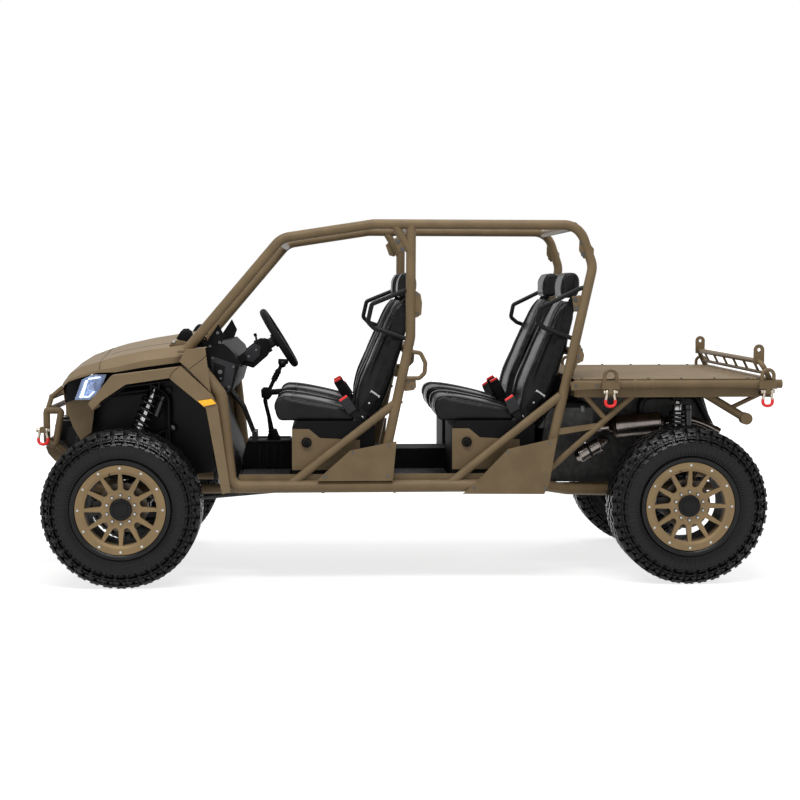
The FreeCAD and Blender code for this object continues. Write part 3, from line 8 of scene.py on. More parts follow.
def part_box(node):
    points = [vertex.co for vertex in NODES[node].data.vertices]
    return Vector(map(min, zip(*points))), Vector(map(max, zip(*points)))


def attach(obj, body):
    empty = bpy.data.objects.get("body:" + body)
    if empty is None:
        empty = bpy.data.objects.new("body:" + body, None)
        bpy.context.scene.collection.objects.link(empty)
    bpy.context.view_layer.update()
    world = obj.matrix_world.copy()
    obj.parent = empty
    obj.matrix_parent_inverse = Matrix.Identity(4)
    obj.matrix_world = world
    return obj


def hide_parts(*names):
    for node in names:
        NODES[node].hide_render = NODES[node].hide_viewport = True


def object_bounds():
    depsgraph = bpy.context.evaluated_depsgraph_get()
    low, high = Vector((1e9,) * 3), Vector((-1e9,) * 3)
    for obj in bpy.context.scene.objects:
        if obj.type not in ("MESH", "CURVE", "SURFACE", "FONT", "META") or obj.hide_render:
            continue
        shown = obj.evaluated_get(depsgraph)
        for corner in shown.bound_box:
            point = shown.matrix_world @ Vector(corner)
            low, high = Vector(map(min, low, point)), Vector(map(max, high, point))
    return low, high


bl_info = {
    "name": "Off-road buggy",
    "version": (1, 0, 0),
    "blender": (4, 5, 0),
    "location": "3D View > Sidebar > Buggy",
    "description": "Dresses the packed frame of a four-seat off-road buggy",
    "category": "Object",
}

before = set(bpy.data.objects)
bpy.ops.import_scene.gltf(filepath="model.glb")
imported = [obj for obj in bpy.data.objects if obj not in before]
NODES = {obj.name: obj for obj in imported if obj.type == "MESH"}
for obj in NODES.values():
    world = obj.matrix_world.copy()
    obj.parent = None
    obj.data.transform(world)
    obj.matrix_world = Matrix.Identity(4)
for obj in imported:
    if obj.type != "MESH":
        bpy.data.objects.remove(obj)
CAD_LOW, CAD_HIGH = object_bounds()
FINISHES = {}
SIDES = (1, -1)
WHEELS = ("front_left", "front_right", "rear_left", "rear_right")
WHEEL_CENTRES = {corner: sum(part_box("tyre_" + corner), Vector()) / 2 for corner in WHEELS}
ROWS = (
    # name, shift along X, how far the seat backs lean back
    ("front", 0.0, 0.0),
    ("rear", -0.832, 0.03),
)
MIRROR = Matrix.Diagonal((1, -1, 1, 1))
QUARTER_TURN = Matrix.Rotation(math.pi / 2, 4, "Z")
HALF_TURN = Matrix.Rotation(math.pi, 4, "Z")


# ---------------------------------------------------------------- settings
def paint(name, description, default):
    """A colour setting."""
    return FloatVectorProperty(name=name, description=description, subtype="COLOR", size=3, min=0, max=1,
                               default=default)


class BuggyPaint(PropertyGroup):
    """Colours of the finishes."""
    tan: paint("Tan", "Powder coat on the tubes", (0.14, 0.098, 0.053))
    panel: paint("Panel tan", "Moulded body panels", (0.166, 0.118, 0.066))
    bronze: paint("Wheel bronze", "Wheel coating", (0.215, 0.147, 0.072))
    vinyl: paint("Vinyl", "Covers of the seats", (0.0088, 0.0088, 0.0092))
    rubber: paint("Rubber", "Tyre rubber", (0.0042, 0.0042, 0.0045))
    red: paint("Red", "Shackle bows and buckle buttons", (0.72, 0.012, 0.01))
    amber: paint("Amber", "Side markers", (0.85, 0.4, 0.008))


class BuggySizes(PropertyGroup):
    """Sizes of the dressed pieces."""
    pitches: IntProperty(name="Tread pitches", description="Tread blocks round one tyre", default=36,
                         min=12, max=72)
    wire: FloatProperty(name="Spring wire", description="Radius of the spring wire", default=0.0082,
                        min=0.002, max=0.012, unit="LENGTH", subtype="DISTANCE")


# ---------------------------------------------------------------- modelling helpers
def deselect():
    """Leave edit mode and select nothing."""
    if bpy.context.object and bpy.context.object.mode != "OBJECT":
        bpy.ops.object.mode_set(mode="OBJECT")
    bpy.ops.object.select_all(action="DESELECT")


def pick(obj):
    """Make one object the only selected one."""
    deselect()
    obj.select_set(True)
    bpy.context.view_layer.objects.active = obj


def made(finish):
    """The object just added, with its place and size put into its mesh, and its finish."""
    obj = bpy.context.object
    obj.data.materials.append(FINISHES[finish])
    pick(obj)
    bpy.ops.object.transform_apply(location=True, rotation=True, scale=True)
    return obj


def smooth(obj, degrees=35):
    """Shade an object smooth, but keep its sharp edges."""
    pick(obj)
    bpy.ops.object.shade_smooth_by_angle(angle=math.radians(degrees))
    return obj


def modified(obj, kind, **settings):
    """Give an object a modifier and apply it."""
    modifier = obj.modifiers.new(kind, kind)
    for setting, value in settings.items():
        setattr(modifier, setting, value)
    pick(obj)
    bpy.ops.object.modifier_apply(modifier=modifier.name)
    return obj


def bevelled(obj, width, segments=2, degrees=30):
    """Round an object's edges."""
    modified(obj, "BEVEL", width=width, segments=segments, limit_method="ANGLE",
             angle_limit=math.radians(degrees))
    return smooth(obj)


def block(low, high, finish, bevel=0.0):
    """A box between two corners with rounded edges."""
    low, high = Vector(low), Vector(high)
    deselect()
    bpy.ops.mesh.primitive_cube_add(size=1, location=(low + high) / 2)
    bpy.context.object.scale = high - low
    obj = made(finish)
    return bevelled(obj, bevel) if bevel else obj


def bar(start, end, radius, finish, sides=20, bevel=0.0):
    """A round bar between two points."""
    start, end = Vector(start), Vector(end)
    axis = end - start
    deselect()
    turn = axis.to_track_quat("Z", "Y").to_euler()
    bpy.ops.mesh.primitive_cone_add(vertices=sides, radius1=radius, radius2=radius, depth=axis.length,
                                    location=(start + end) / 2, rotation=turn)
    obj = made(finish)
    return bevelled(obj, bevel) if bevel else smooth(obj)


def joined(name, parts):
    """One mesh or several as one named piece."""
    deselect()
    for part in parts:
        part.select_set(True)
    bpy.context.view_layer.objects.active = parts[0]
    if len(parts) > 1:
        bpy.ops.object.join()
    parts[0].name = name
    parts[0].data.name = name
    return parts[0]


def moved(obj, place, turn=Matrix()):
    """Put a part made about the origin in its place."""
    obj.data.transform(Matrix.Translation(place) @ turn)
    return obj


def copied(obj, name, matrix):
    """A copy of a piece with its own mesh, moved by a matrix."""
    twin = obj.copy()
    twin.data = obj.data.copy()
    twin.name = name
    twin.data.name = name
    twin.data.transform(matrix)
    if matrix.determinant() < 0:
        twin.data.flip_normals()
    bpy.context.collection.objects.link(twin)
    return twin


def opened(points, finish, fill):
    """A polygon through points, open in edit mode with everything selected."""
    deselect()
    bpy.ops.mesh.primitive_circle_add(vertices=len(points), fill_type=fill, radius=1)
    obj = made(finish)
    for vertex, point in zip(obj.data.vertices, points):
        vertex.co = point
    bpy.ops.object.mode_set(mode="EDIT")
    bpy.ops.mesh.select_all(action="SELECT")
    return obj


def pushed(y):
    """Extrude what is selected along Y."""
    bpy.ops.mesh.extrude_region_move(TRANSFORM_OT_translate={"value": (0, y, 0)})


def closed():
    """Turn the normals outward and leave edit mode."""
    bpy.ops.mesh.select_all(action="SELECT")
    bpy.ops.mesh.normals_make_consistent(inside=False)
    bpy.ops.object.mode_set(mode="OBJECT")


def plate(outline, y0, y1, finish, bevel=0.0, segments=2):
    """A plate from an outline in X and Z, drawn flat and extruded from y0 to y1."""
    obj = opened([(x, y0, z) for x, z in outline], finish, "NGON")
    pushed(y1 - y0)
    closed()
    return bevelled(obj, bevel, segments) if bevel else obj


def lathe(profile, finish, steps=64, degrees=30):
    """A closed profile of (radius, y) spun round the Y axis."""
    obj = opened([(radius, y, 0) for radius, y in profile], finish, "NOTHING")
    bpy.ops.mesh.spin(steps=steps, angle=2 * math.pi, center=(0, 0, 0), axis=(0, 1, 0))
    bpy.ops.mesh.select_all(action="SELECT")
    bpy.ops.mesh.remove_doubles(threshold=0.00005)
    closed()
    return smooth(obj, degrees)


def aimed(obj, start, end):
    """Turn a part made along +Y so that it starts at one point and heads for another."""
    start, end = Vector(start), Vector(end)
    return moved(obj, start, (end - start).to_track_quat("Y", "Z").to_matrix().to_4x4())


def pipe(points, radius, finish, resolution=4):
    """A round strand along a smooth path, turned into a mesh."""
    deselect()
    bpy.ops.curve.primitive_nurbs_path_add()
    obj = bpy.context.object
    curve = obj.data
    curve.splines.clear()
    spline = curve.splines.new("NURBS")
    spline.points.add(len(points) - 1)
    for point, at in zip(spline.points, points):
        point.co = (*at, 1)
    spline.order_u = 3
    spline.use_endpoint_u = True
    spline.resolution_u = resolution
    curve.dimensions = "3D"
    curve.bevel_depth = radius
    curve.bevel_resolution = 3
    curve.use_fill_caps = True
    pick(obj)
    bpy.ops.object.convert(target="MESH")
    return smooth(made(finish), 50)


def bolt(at, axis, radius, height, finish="dark_bolt"):
    """A hexagon head on a washer."""
    at, axis = Vector(at), Vector(axis).normalized()
    washer = bar(at, at + axis * height * 0.3, radius * 1.35, finish, 16)
    head = bar(at + axis * height * 0.25, at + axis * height, radius, finish, 6)
    return joined("bolt", [washer, head])


def side_bolts(rows):
    """Hexagon heads that look out to the left, from rows of x, y, z and radius."""
    return [bolt((x, y, z), (0, 1, 0), radius, radius * 0.8) for x, y, z, radius in rows]


def plates_from(rows):
    """Bevelled plates from rows of outline, y from, y to, finish and bevel."""
    return [plate(*row) for row in rows]


def dressed(obj, nodes=(), body="chassis"):
    """Let a finished piece ride on its body, and hide the imported nodes that it stands for."""
    deselect()
    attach(obj, body)
    if nodes:
        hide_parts(*nodes)
    return obj


def single(name, parts, nodes=(), body="chassis"):
    """Join parts to one piece and dress it."""
    dressed(joined(name, parts), nodes, body)


def pair(name, parts, nodes=()):
    """Join parts to a left piece, mirror it to the right, and dress both."""
    model = joined(name, parts)
    for side, matrix in (("_left", Matrix()), ("_right", MIRROR)):
        dressed(copied(model, name + side, matrix), nodes)
    bpy.data.objects.remove(model)


def on_wheels(name, parts, prefix=None):
    """Join parts made about the origin and copy them to the four wheels, outer side out.

    A prefix names the node of each corner that they stand for.
    """
    model = joined(name, parts)
    for corner in WHEELS:
        turn = Matrix() if corner.endswith("left") else HALF_TURN
        piece = copied(model, name + "_" + corner, Matrix.Translation(WHEEL_CENTRES[corner]) @ turn)
        dressed(piece, (prefix + corner,) if prefix else (), "wheel_" + corner)
    bpy.data.objects.remove(model)


# ---------------------------------------------------------------- materials
def feed(node, inputs):
    """Set a node's inputs, each to a value or linked from another node's output."""
    for key, value in inputs.items():
        if isinstance(value, bpy.types.NodeSocket):
            node.id_data.links.new(value, node.inputs[key])
        else:
            node.inputs[key].default_value = value
    return node


def grown(beside, kind, inputs, **settings):
    """A new node in the tree of another node or socket."""
    node = beside.id_data.nodes.new("ShaderNode" + kind)
    for setting, value in settings.items():
        setattr(node, setting, value)
    return feed(node, inputs)


def object_place(beside):
    """Object coordinates."""
    return grown(beside, "TexCoord", {}).outputs["Object"]


def noise(beside, scale, detail=3.0, stretch=(1, 1, 1)):
    """Noise on object coordinates."""
    place = grown(beside, "Mapping", {"Scale": stretch, "Vector": object_place(beside)}).outputs["Vector"]
    return grown(beside, "TexNoise", {"Scale": scale, "Detail": detail, "Vector": place}).outputs["Fac"]


def waves(beside, scale, direction):
    """Straight ribs on object coordinates."""
    inputs = {"Scale": scale, "Vector": object_place(beside)}
    return grown(beside, "TexWave", inputs, bands_direction=direction).outputs["Fac"]


def bump(height, strength, distance, below=None):
    """Bump from a texture, on top of another bump."""
    inputs = {"Strength": strength, "Distance": distance, "Height": height}
    if below:
        inputs["Normal"] = below
    return grown(height, "Bump", inputs).outputs["Normal"]


def ramp(source, colours, ends=(0.35, 0.65)):
    """Colours between two values of a texture."""
    node = grown(source, "ValToRGB", {"Fac": source})
    for element, place, colour in zip(node.color_ramp.elements, ends, colours):
        element.position = place
        element.color = (*colour, 1)
    return node.outputs["Color"]


def between(source, low, high):
    """A texture's range moved to another range."""
    return grown(source, "MapRange", {"To Min": low, "To Max": high, "Value": source}).outputs["Result"]


def tones(colour, dark, light):
    """A darker and a lighter tone of a colour."""
    return [tuple(min(1.0, part * factor) for part in colour) for factor in (dark, light)]


def surface(name, colours, scale, detail, rough=None, ends=(0.35, 0.65)):
    """A material whose colour and roughness wander with one slow noise; its shader and that noise too."""
    material = bpy.data.materials.new(name)
    material.use_nodes = True
    shader = material.node_tree.nodes["Principled BSDF"]
    slow = noise(shader, scale, detail)
    feed(shader, {"Base Color": ramp(slow, colours, ends)})
    if rough:
        feed(shader, {"Roughness": between(slow, *rough)})
    return material, shader, slow


def coated(name, colour, rough=(0.42, 0.55), metallic=0.0, mottle=0.1, mottle_scale=9.0,
           grain_scale=900.0, grain=0.12, grain_depth=0.0004, specular=0.5):
    """A painted or moulded surface: slow mottling and a fine grain."""
    material, shader, _ = surface(name, tones(colour, 1 - mottle, 1 + mottle), mottle_scale, 5.0, rough)
    fine = bump(noise(shader, grain_scale, 2.0), grain, grain_depth)
    feed(shader, {"Metallic": metallic, "Specular IOR Level": specular, "Normal": fine})
    return material


def brushed(name, colour, rough=(0.25, 0.42), stretch=(1, 1, 1), scale=220.0, tint=None):
    """Bare metal with fine scratches along one way."""
    dark, light = tones(colour, 0.8, 1.15)
    material, shader, _ = surface(name, (dark, tint or light), 14.0, 3.0)
    lines = noise(shader, scale, 4.0, stretch)
    feed(shader, {"Metallic": 1.0, "Roughness": between(lines, *rough), "Normal": bump(lines, 0.15, 0.0002)})
    return material


def shaded_inside(material, inner_y, outer_y, shade_colour):
    """Painted shade: the colour turns dark inside the barrel on both sides of the vehicle, where shade falls,
    and stays unshaded at the outer face.
    """
    shader = material.node_tree.nodes["Principled BSDF"]
    unshaded = shader.inputs["Base Color"].links[0].from_socket
    split = grown(shader, "SeparateXYZ", {"Vector": object_place(shader)})
    reach = grown(shader, "Math", {0: split.outputs["Y"]}, operation="ABSOLUTE").outputs["Value"]
    fade = grown(shader, "MapRange", {"From Min": inner_y, "From Max": outer_y, "Value": reach})
    # painted shade: the dark colour is mixed in towards the inside of the barrel
    mix = grown(shader, "Mix", {"Factor": fade.outputs["Result"], 6: (*shade_colour, 1), 7: unshaded}, data_type="RGBA")
    feed(shader, {"Base Color": mix.outputs[2]})
    return material


def vinyl_cover(name, colour):
    """Grained vinyl: pebble cells over soft creases."""
    material, shader, _ = surface(name, tones(colour, 0.8, 1.3), 7.0, 4.0, (0.26, 0.4))
    creases = bump(noise(shader, 22.0, 6.0, (1, 0.5, 1)), 0.12, 0.004)
    inputs = {"Scale": 420.0, "Vector": object_place(shader)}
    cells = grown(shader, "TexVoronoi", inputs, feature="DISTANCE_TO_EDGE")
    pebbles = bump(cells.outputs["Distance"], 0.22, 0.0006, creases)
    feed(shader, {"Specular IOR Level": 0.12, "Normal": pebbles})
    return material


def rubber_compound(name, colour):
    """Tyre rubber: dusty, with a grain."""
    material, shader, _ = surface(name, tones(colour, 0.75, 1.6), 16.0, 6.0, (0.2, 0.36), (0.3, 0.75))
    feed(shader, {"Specular IOR Level": 0.22, "Normal": bump(noise(shader, 600.0), 0.2, 0.0006)})
    return material


def woven(name, colour, scale=900.0):
    """Belt webbing: crossed ribs."""
    material, shader, _ = surface(name, tones(colour, 0.8, 1.3), 30.0, 3.0)
    ribs = bump(waves(shader, scale / 3, "DIAGONAL"), 0.3, 0.0006)
    ribs = bump(waves(shader, scale / 3, "Z"), 0.3, 0.0006, ribs)
    feed(shader, {"Roughness": 0.8, "Sheen Weight": 0.05, "Specular IOR Level": 0.1, "Normal": ribs})
    return material


def ribbed(name, colour):
    """Moulded floor mat with raised ribs along X."""
    material, shader, _ = surface(name, tones(colour, 0.8, 1.5), 11.0, 5.0, (0.45, 0.65))
    feed(shader, {"Normal": bump(waves(shader, 55.0, "Y"), 0.7, 0.003)})
    return material


def glowing(name, colour, strength):
    """A lit strip with a faint unevenness."""
    material, shader, _ = surface(name, tones(colour, 0.9, 1.0), 40.0, 3.0)
    lit = shader.inputs["Base Color"].links[0].from_socket
    feed(shader, {"Roughness": 0.2, "Emission Color": lit, "Emission Strength": strength})
    return material


def clear_plastic(name, colour, rough=0.08, through=0.9):
    """Lamp lens plastic with moulded ripples."""
    material, shader, slow = surface(name, tones(colour, 0.92, 1.0), 60.0, 3.0)
    ripples = bump(slow, 0.05, 0.001)
    feed(shader, {"Transmission Weight": through, "Roughness": rough, "IOR": 1.45, "Normal": ripples})
    return material


def make_finishes(colours):
    """Every material of the buggy."""
    tan, panel, bronze, vinyl, rubber, red, amber = (tuple(getattr(colours, name)) for name in (
        "tan", "panel", "bronze", "vinyl", "rubber", "red", "amber"))
    FINISHES.update(
        tan=coated("Tan_powder_coat", tan, (0.36, 0.48), grain_scale=700, grain=0.04, grain_depth=0.00012,
                   specular=0.14),
        panel=coated("Tan_moulded_panel", panel, (0.44, 0.58), mottle=0.07, grain_scale=1400, grain=0.18,
                     specular=0.18),
        deck=coated("Tan_deck_coat", tan, (0.62, 0.76), grain_scale=700, grain=0.1, specular=0.08),
        # the wheel coat carries painted shade, dark inside the barrel
        bronze=shaded_inside(
            coated("Bronze_wheel_coat", bronze, (0.34, 0.46), metallic=0.35, mottle=0.08, grain_scale=1200,
                   specular=0.3), 0.672, 0.704, (0.012, 0.01, 0.008)),
        moulded=coated("Black_moulded", (0.005, 0.005, 0.0053), (0.5, 0.66), mottle=0.25, grain_scale=1100,
                       grain=0.35, grain_depth=0.0005, specular=0.08),
        grey_moulded=coated("Charcoal_moulded", (0.024, 0.024, 0.026), (0.45, 0.6), mottle=0.15,
                            grain_scale=1100, grain=0.35, grain_depth=0.0005, specular=0.12),
        satin=coated("Satin_black_steel", (0.006, 0.006, 0.0063), (0.26, 0.4), mottle=0.2, grain_scale=600,
                     specular=0.14),
        spring=coated("Gloss_black_spring", (0.016, 0.016, 0.017), (0.12, 0.2), grain=0.02),
        damper=brushed("Dark_damper_steel", (0.42, 0.42, 0.42), (0.12, 0.22), scale=300),
        gloss=coated("Gloss_black", (0.005, 0.005, 0.0055), (0.12, 0.2), grain=0.02, specular=0.16),
        shackle=brushed("Plated_steel", (0.5, 0.44, 0.36), (0.3, 0.45), scale=260),
        lamp_surround=coated("Lamp_surround", (0.2, 0.27, 0.42), (0.25, 0.35), mottle=0.06, grain=0.04),
        lamp_bulb=glowing("Lamp_projector", (0.3, 0.36, 0.5), 0.15),
        casting=coated("Dark_casting", (0.045, 0.044, 0.043), (0.45, 0.62), metallic=0.7, mottle=0.3,
                       mottle_scale=30, grain_scale=350, grain=0.5, grain_depth=0.0008),
        vinyl=vinyl_cover("Black_vinyl", vinyl),
        piping=coated("Black_piping", (0.008, 0.008, 0.0085), (0.36, 0.46), grain_scale=1500, specular=0.16),
        webbing=woven("Belt_webbing", (0.008, 0.008, 0.0085)),
        rubber=rubber_compound("Tyre_rubber", rubber),
        mat=ribbed("Ribbed_mat", (0.018, 0.018, 0.019)),
        dark_bolt=brushed("Blackened_bolt", (0.1, 0.1, 0.1), (0.25, 0.4), scale=400),
        joint=coated("Joint_shadow", (0.004, 0.004, 0.004), (0.8, 0.9), grain=0.02, specular=0.05),
        zinc=brushed("Zinc_bolt", (0.5, 0.5, 0.49), (0.22, 0.4), scale=500),
        disc=brushed("Brake_disc_steel", (0.12, 0.098, 0.076), (0.32, 0.5), (1, 60, 1), 120),
        steel=brushed("Bare_steel", (0.45, 0.45, 0.45), (0.2, 0.35), (20, 1, 20), 150),
        exhaust=brushed("Heat_tinted_steel", (0.27, 0.24, 0.215), (0.2, 0.3), (1, 12, 12), 40,
                        (0.3, 0.26, 0.24)),
        red=coated("Red_coat", red, (0.28, 0.38), mottle=0.05, grain_scale=500),
        red_lens=clear_plastic("Red_lens", (0.7, 0.01, 0.01), 0.15, 0.3),
        amber=glowing("Amber_lens", amber, 0.25),
        led=glowing("White_light_strip", (0.86, 0.92, 1.0), 1.6),
        lamp_glass=clear_plastic("Lamp_glass", (0.8, 0.87, 1.0), 0.03, 0.95),
        reflector=brushed("Lamp_reflector", (0.3, 0.38, 0.52), (0.12, 0.25), scale=80),
        rope=woven("Winch_rope", (0.05, 0.05, 0.05), 500),
    )


NODE_FINISHES = {
    "tan": "frame cage_side_left cage_side_right cage_cross_bars sill_panels front_bumper skid_plate "
           "storage_panels deck_frame tie_down_loops rear_rack",
    "panel": "hood nose_cap nose_panels front_fenders",
    "deck": "cargo_deck",
    "mat": "floor_pan",
    "moulded": "grille fender_liners dashboard centre_tunnel seat_boxes steering_wheel inner_panels",
    "grey_moulded": "steering_column",
    "satin": "front_frame rear_frame shoulder_guards driver_controls winch wishbones shocks",
    "vinyl": "seat_cushions seat_backs headrests",
    "webbing": "seat_belts",
    "casting": "engine_block drivetrain rear_carriers knuckle_left knuckle_right rack_housing",
    "steel": "shackles steering_rack",
    "exhaust": "exhaust",
    "lamp_glass": "headlamps",
    "amber": "turn_lenses",
    "red_lens": "tail_lamps",
}
WHEEL_FINISHES = {"rubber": "tyre_", "bronze": "rim_", "disc": "hub_disc_"}


class BUGGY_OT_finishes(Operator):
    """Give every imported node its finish"""
    bl_idname = "buggy.finishes"
    bl_label = "Finishes"

    def execute(self, context):
        make_finishes(context.scene.buggy_paint)
        finish_of = {name: finish for finish, names in NODE_FINISHES.items() for name in names.split()}
        for finish, prefix in WHEEL_FINISHES.items():
            finish_of.update((prefix + corner, finish) for corner in WHEELS)
        for name, obj in NODES.items():
            if name not in finish_of:
                raise ValueError("no finish for " + name)
            obj.data.materials.clear()
            obj.data.materials.append(FINISHES[finish_of[name]])
            smooth(obj, 28)
        return {"FINISHED"}


# ---------------------------------------------------------------- tyres and wheels
CARCASS = (
    # radius, half width
    (0.1915, 0.0995), (0.2308, 0.0998), (0.2345, 0.11), (0.243, 0.1165), (0.252, 0.1195),
    (0.255, 0.119), (0.259, 0.109), (0.268, 0.114), (0.28, 0.1192), (0.295, 0.1228), (0.312, 0.1238),
    (0.326, 0.1222), (0.33, 0.1232), (0.334, 0.119), (0.356, 0.108), (0.374, 0.098), (0.383, 0.088),
    (0.387, 0.06),
)
LUG_BLOCKS = (
    # angle in pitches, half length, y from, y to, radius from, radius to: shoulder, side, then centre blocks
    (-0.215, 0.0088, 0.074, 0.112, 0.386, 0.4057),
    (0.215, 0.0088, 0.074, 0.112, 0.386, 0.4057),
    (0.0, 0.012, 0.09, 0.109, 0.386, 0.404),
    (-0.225, 0.008, 0.1, 0.1262, 0.366, 0.3985),
    (0.225, 0.008, 0.1, 0.1262, 0.366, 0.3985),
    (0.0, 0.0225, 0.1, 0.1195, 0.386, 0.399),
    (0.0, 0.02, 0.098, 0.116, 0.366, 0.388),
    (0.0, 0.024, 0.102, 0.1268, 0.354, 0.366),
    (0.0, 0.015, 0.106, 0.1268, 0.336, 0.35),
    (0.5, 0.005, 0.098, 0.118, 0.348, 0.376),
    (0.5, 0.02, 0.04, 0.069, 0.384, 0.406),
    (0.08, 0.0215, 0.0045, 0.035, 0.384, 0.4062),
)
LUG_TOP_WIDTH = 0.9
LUG_BEVEL = 0.0011
STUD_Y = (0.1255, 0.1269)
STUD_PLACE = 0.3612
STUD_RADIUS = 0.0034
RIB_FOOT_Y = 0.115
SHOULDER_Y = 0.09
SHOULDER_SLOPE = 0.6
SIDE_RIBS = (
    # times round, radius from, radius to, half thickness, y
    (120, 0.264, 0.29, 0.0009, 0.1248),
    (72, 0.293, 0.33, 0.001, 0.1258),
    (36, 0.299, 0.318, 0.006, 0.125),
    (36, 0.322, 0.333, 0.011, 0.1256),
)


def tread_pitch(pitch_angle):
    """All the blocks of one pitch, narrower at their tops, on both halves of the tread."""
    parts = []
    for along, half, y0, y1, r0, r1 in LUG_BLOCKS:
        lug = block((-half, y0, r0), (half, y1, r1), "rubber")
        for vertex in lug.data.vertices:
            if vertex.co.z > (r0 + r1) / 2:
                vertex.co.x *= LUG_TOP_WIDTH
                if vertex.co.y > SHOULDER_Y:
                    vertex.co.y -= (r1 - r0) * SHOULDER_SLOPE
        lug.data.transform(Matrix.Rotation(pitch_angle * along, 4, "Y"))
        bevelled(lug, LUG_BEVEL, 1)
        parts += [lug, copied(lug, "twin", Matrix.Rotation(pitch_angle * 0.5, 4, "Y") @ MIRROR)]
    for side in SIDES:
        foot, top = ((0.0, side * y, STUD_PLACE) for y in STUD_Y)
        parts.append(bar(foot, top, STUD_RADIUS, "rubber", 10))
    return joined("pitch", parts)


def ringed(obj, count):
    """Repeat a part round the Y axis."""
    bpy.ops.object.empty_add(rotation=(0, 2 * math.pi / count, 0))
    turn = bpy.context.object
    bpy.context.view_layer.update()
    modified(obj, "ARRAY", count=count, use_relative_offset=False, use_object_offset=True, offset_object=turn)
    bpy.data.objects.remove(turn)
    return obj


class BUGGY_OT_tyres(Operator):
    """Add the tyres with their sidewalls and tread blocks"""
    bl_idname = "buggy.tyres"
    bl_label = "Tyres"

    def execute(self, context):
        count = context.scene.buggy_sizes.pitches
        tyre = [lathe(CARCASS + tuple((radius, -y) for radius, y in reversed(CARCASS)), "rubber", 144),
                ringed(tread_pitch(2 * math.pi / count), count)]
        for times, low, high, half, reach in SIDE_RIBS:
            rib = block((-half, RIB_FOOT_Y, low), (half, reach, high), "rubber")
            tyre.append(ringed(joined("ribs", [rib, copied(rib, "twin", MIRROR)]), times))
        on_wheels("Tyre", tyre, "tyre_")
        return {"FINISHED"}


RING_BOLTS = 12
RING_BOLT_PLACE = (0, 0.11, 0.2155)
HUB_BOLTS = 10
HUB_BOLT_RADIUS = 0.074
CAP_PROFILE = ((0.0, 0.06), (0.0576, 0.06), (0.0576, 0.0855), (0.056, 0.0895), (0.05, 0.0925),
               (0.04, 0.0932), (0.039, 0.0922), (0.0375, 0.0922), (0.0365, 0.0936),
               (0.02, 0.0948), (0.0, 0.0952))


class BUGGY_OT_wheel_trim(Operator):
    """Add the ring bolts, wheel nuts, valves and plain centre caps"""
    bl_idname = "buggy.wheel_trim"
    bl_label = "Wheel trim"

    def execute(self, context):
        ring = ringed(bolt(RING_BOLT_PLACE, (0, 1, 0), 0.0047, 0.005, "zinc"), RING_BOLTS)
        nut = joined("nut", [
            bar((0, 0.076, HUB_BOLT_RADIUS), (0, 0.081, HUB_BOLT_RADIUS), 0.0088, "dark_bolt", 18),
            bar((0, 0.078, HUB_BOLT_RADIUS), (0, 0.089, HUB_BOLT_RADIUS), 0.0062, "zinc", 6, 0.0012)])
        valve = bar((0.05, 0.1, 0.176), (0.052, 0.124, 0.181), 0.0035, "gloss", 12)
        on_wheels("Wheel_bolts", [ring, ringed(nut, HUB_BOLTS), valve])
        on_wheels("Centre_cap", [lathe(CAP_PROFILE, "gloss")])
        return {"FINISHED"}


# ---------------------------------------------------------------- seats
SEAT_LOW_Y = 0.11
SEAT_HIGH_Y = 0.59
SEAT_MIDDLE_Y = (SEAT_LOW_Y + SEAT_HIGH_Y) / 2
BOLSTER = 0.088
COVER_INSET = 0.007
PANEL_OVERLAP = 0.012
BOLSTER_BEVEL = 0.018
SEAMS = (SEAT_LOW_Y + BOLSTER + 0.004, SEAT_HIGH_Y - BOLSTER - 0.004)
EDGE_WELT = 0.012
WELTS = (*SEAMS, SEAT_LOW_Y + EDGE_WELT, SEAT_HIGH_Y - EDGE_WELT)
SEAM_REACH = 0.0045
CUSHION_OUTLINE = (
    (0.27, 0.8458), (0.27, 0.9), (0.34, 0.92), (0.42, 0.939), (0.5, 0.956), (0.56, 0.967),
    (0.636, 0.976), (0.672, 0.959), (0.683, 0.924), (0.668, 0.862), (0.652, 0.8458),
)
BACK_OUTLINE = (
    (0.257, 0.85), (0.257, 0.957), (0.231, 1.059), (0.185, 1.153), (0.131, 1.284), (0.089, 1.389),
    (0.064, 1.434), (0.032, 1.47), (-0.012, 1.468), (-0.023, 1.438), (-0.015, 1.378), (0.021, 1.243),
    (0.067, 1.084), (0.115, 0.962), (0.147, 0.889), (0.156, 0.85),
)
HEADREST_OUTLINE = (
    (0.031, 1.4795), (0.034, 1.494), (0.032, 1.573), (0.007, 1.613), (-0.043, 1.613), (-0.062, 1.586),
    (-0.056, 1.494), (-0.014, 1.4795),
)
HEADREST_Y = (SEAT_MIDDLE_Y - 0.129, SEAT_MIDDLE_Y + 0.129)
CUSHION_FOOT_Z = 0.851
CUSHION_REAR_X = 0.273
BACK_FOOT_Z = 0.86
HEADREST_FOOT_Z = 1.483
CUSHION_SINK, CUSHION_FACE = 0.009, (1, 8)
BACK_SINK, BACK_FACE = -0.011, (1, 6)
CUSHION_CELL = HEADREST_CELL = 0.0065
BACK_CELL = 0.007
SEAT_SWELL = 0.0085
HEADREST_SWELL = 0.007
CUSHION_SEAM_X = 0.585
BACK_SEAM_Z = 1.3
SHOULDER_CUT_Z = 1.23
SHOULDER_CUT_SLOPE = 0.08 / 0.27
LEAN_FROM_Z = 0.8453
LEAN_OVER = 0.11
CLOTH_FRAMES = 20
CLOTH_PRESSURE = 4.0


def narrowed(y, z):
    """Where the seat back's sides lean in towards the shoulder."""
    lean = max(0.0, z - SHOULDER_CUT_Z) * SHOULDER_CUT_SLOPE
    return SEAT_MIDDLE_Y + (y - SEAT_MIDDLE_Y) * (1 - lean / (SEAT_HIGH_Y - SEAT_MIDDLE_Y))


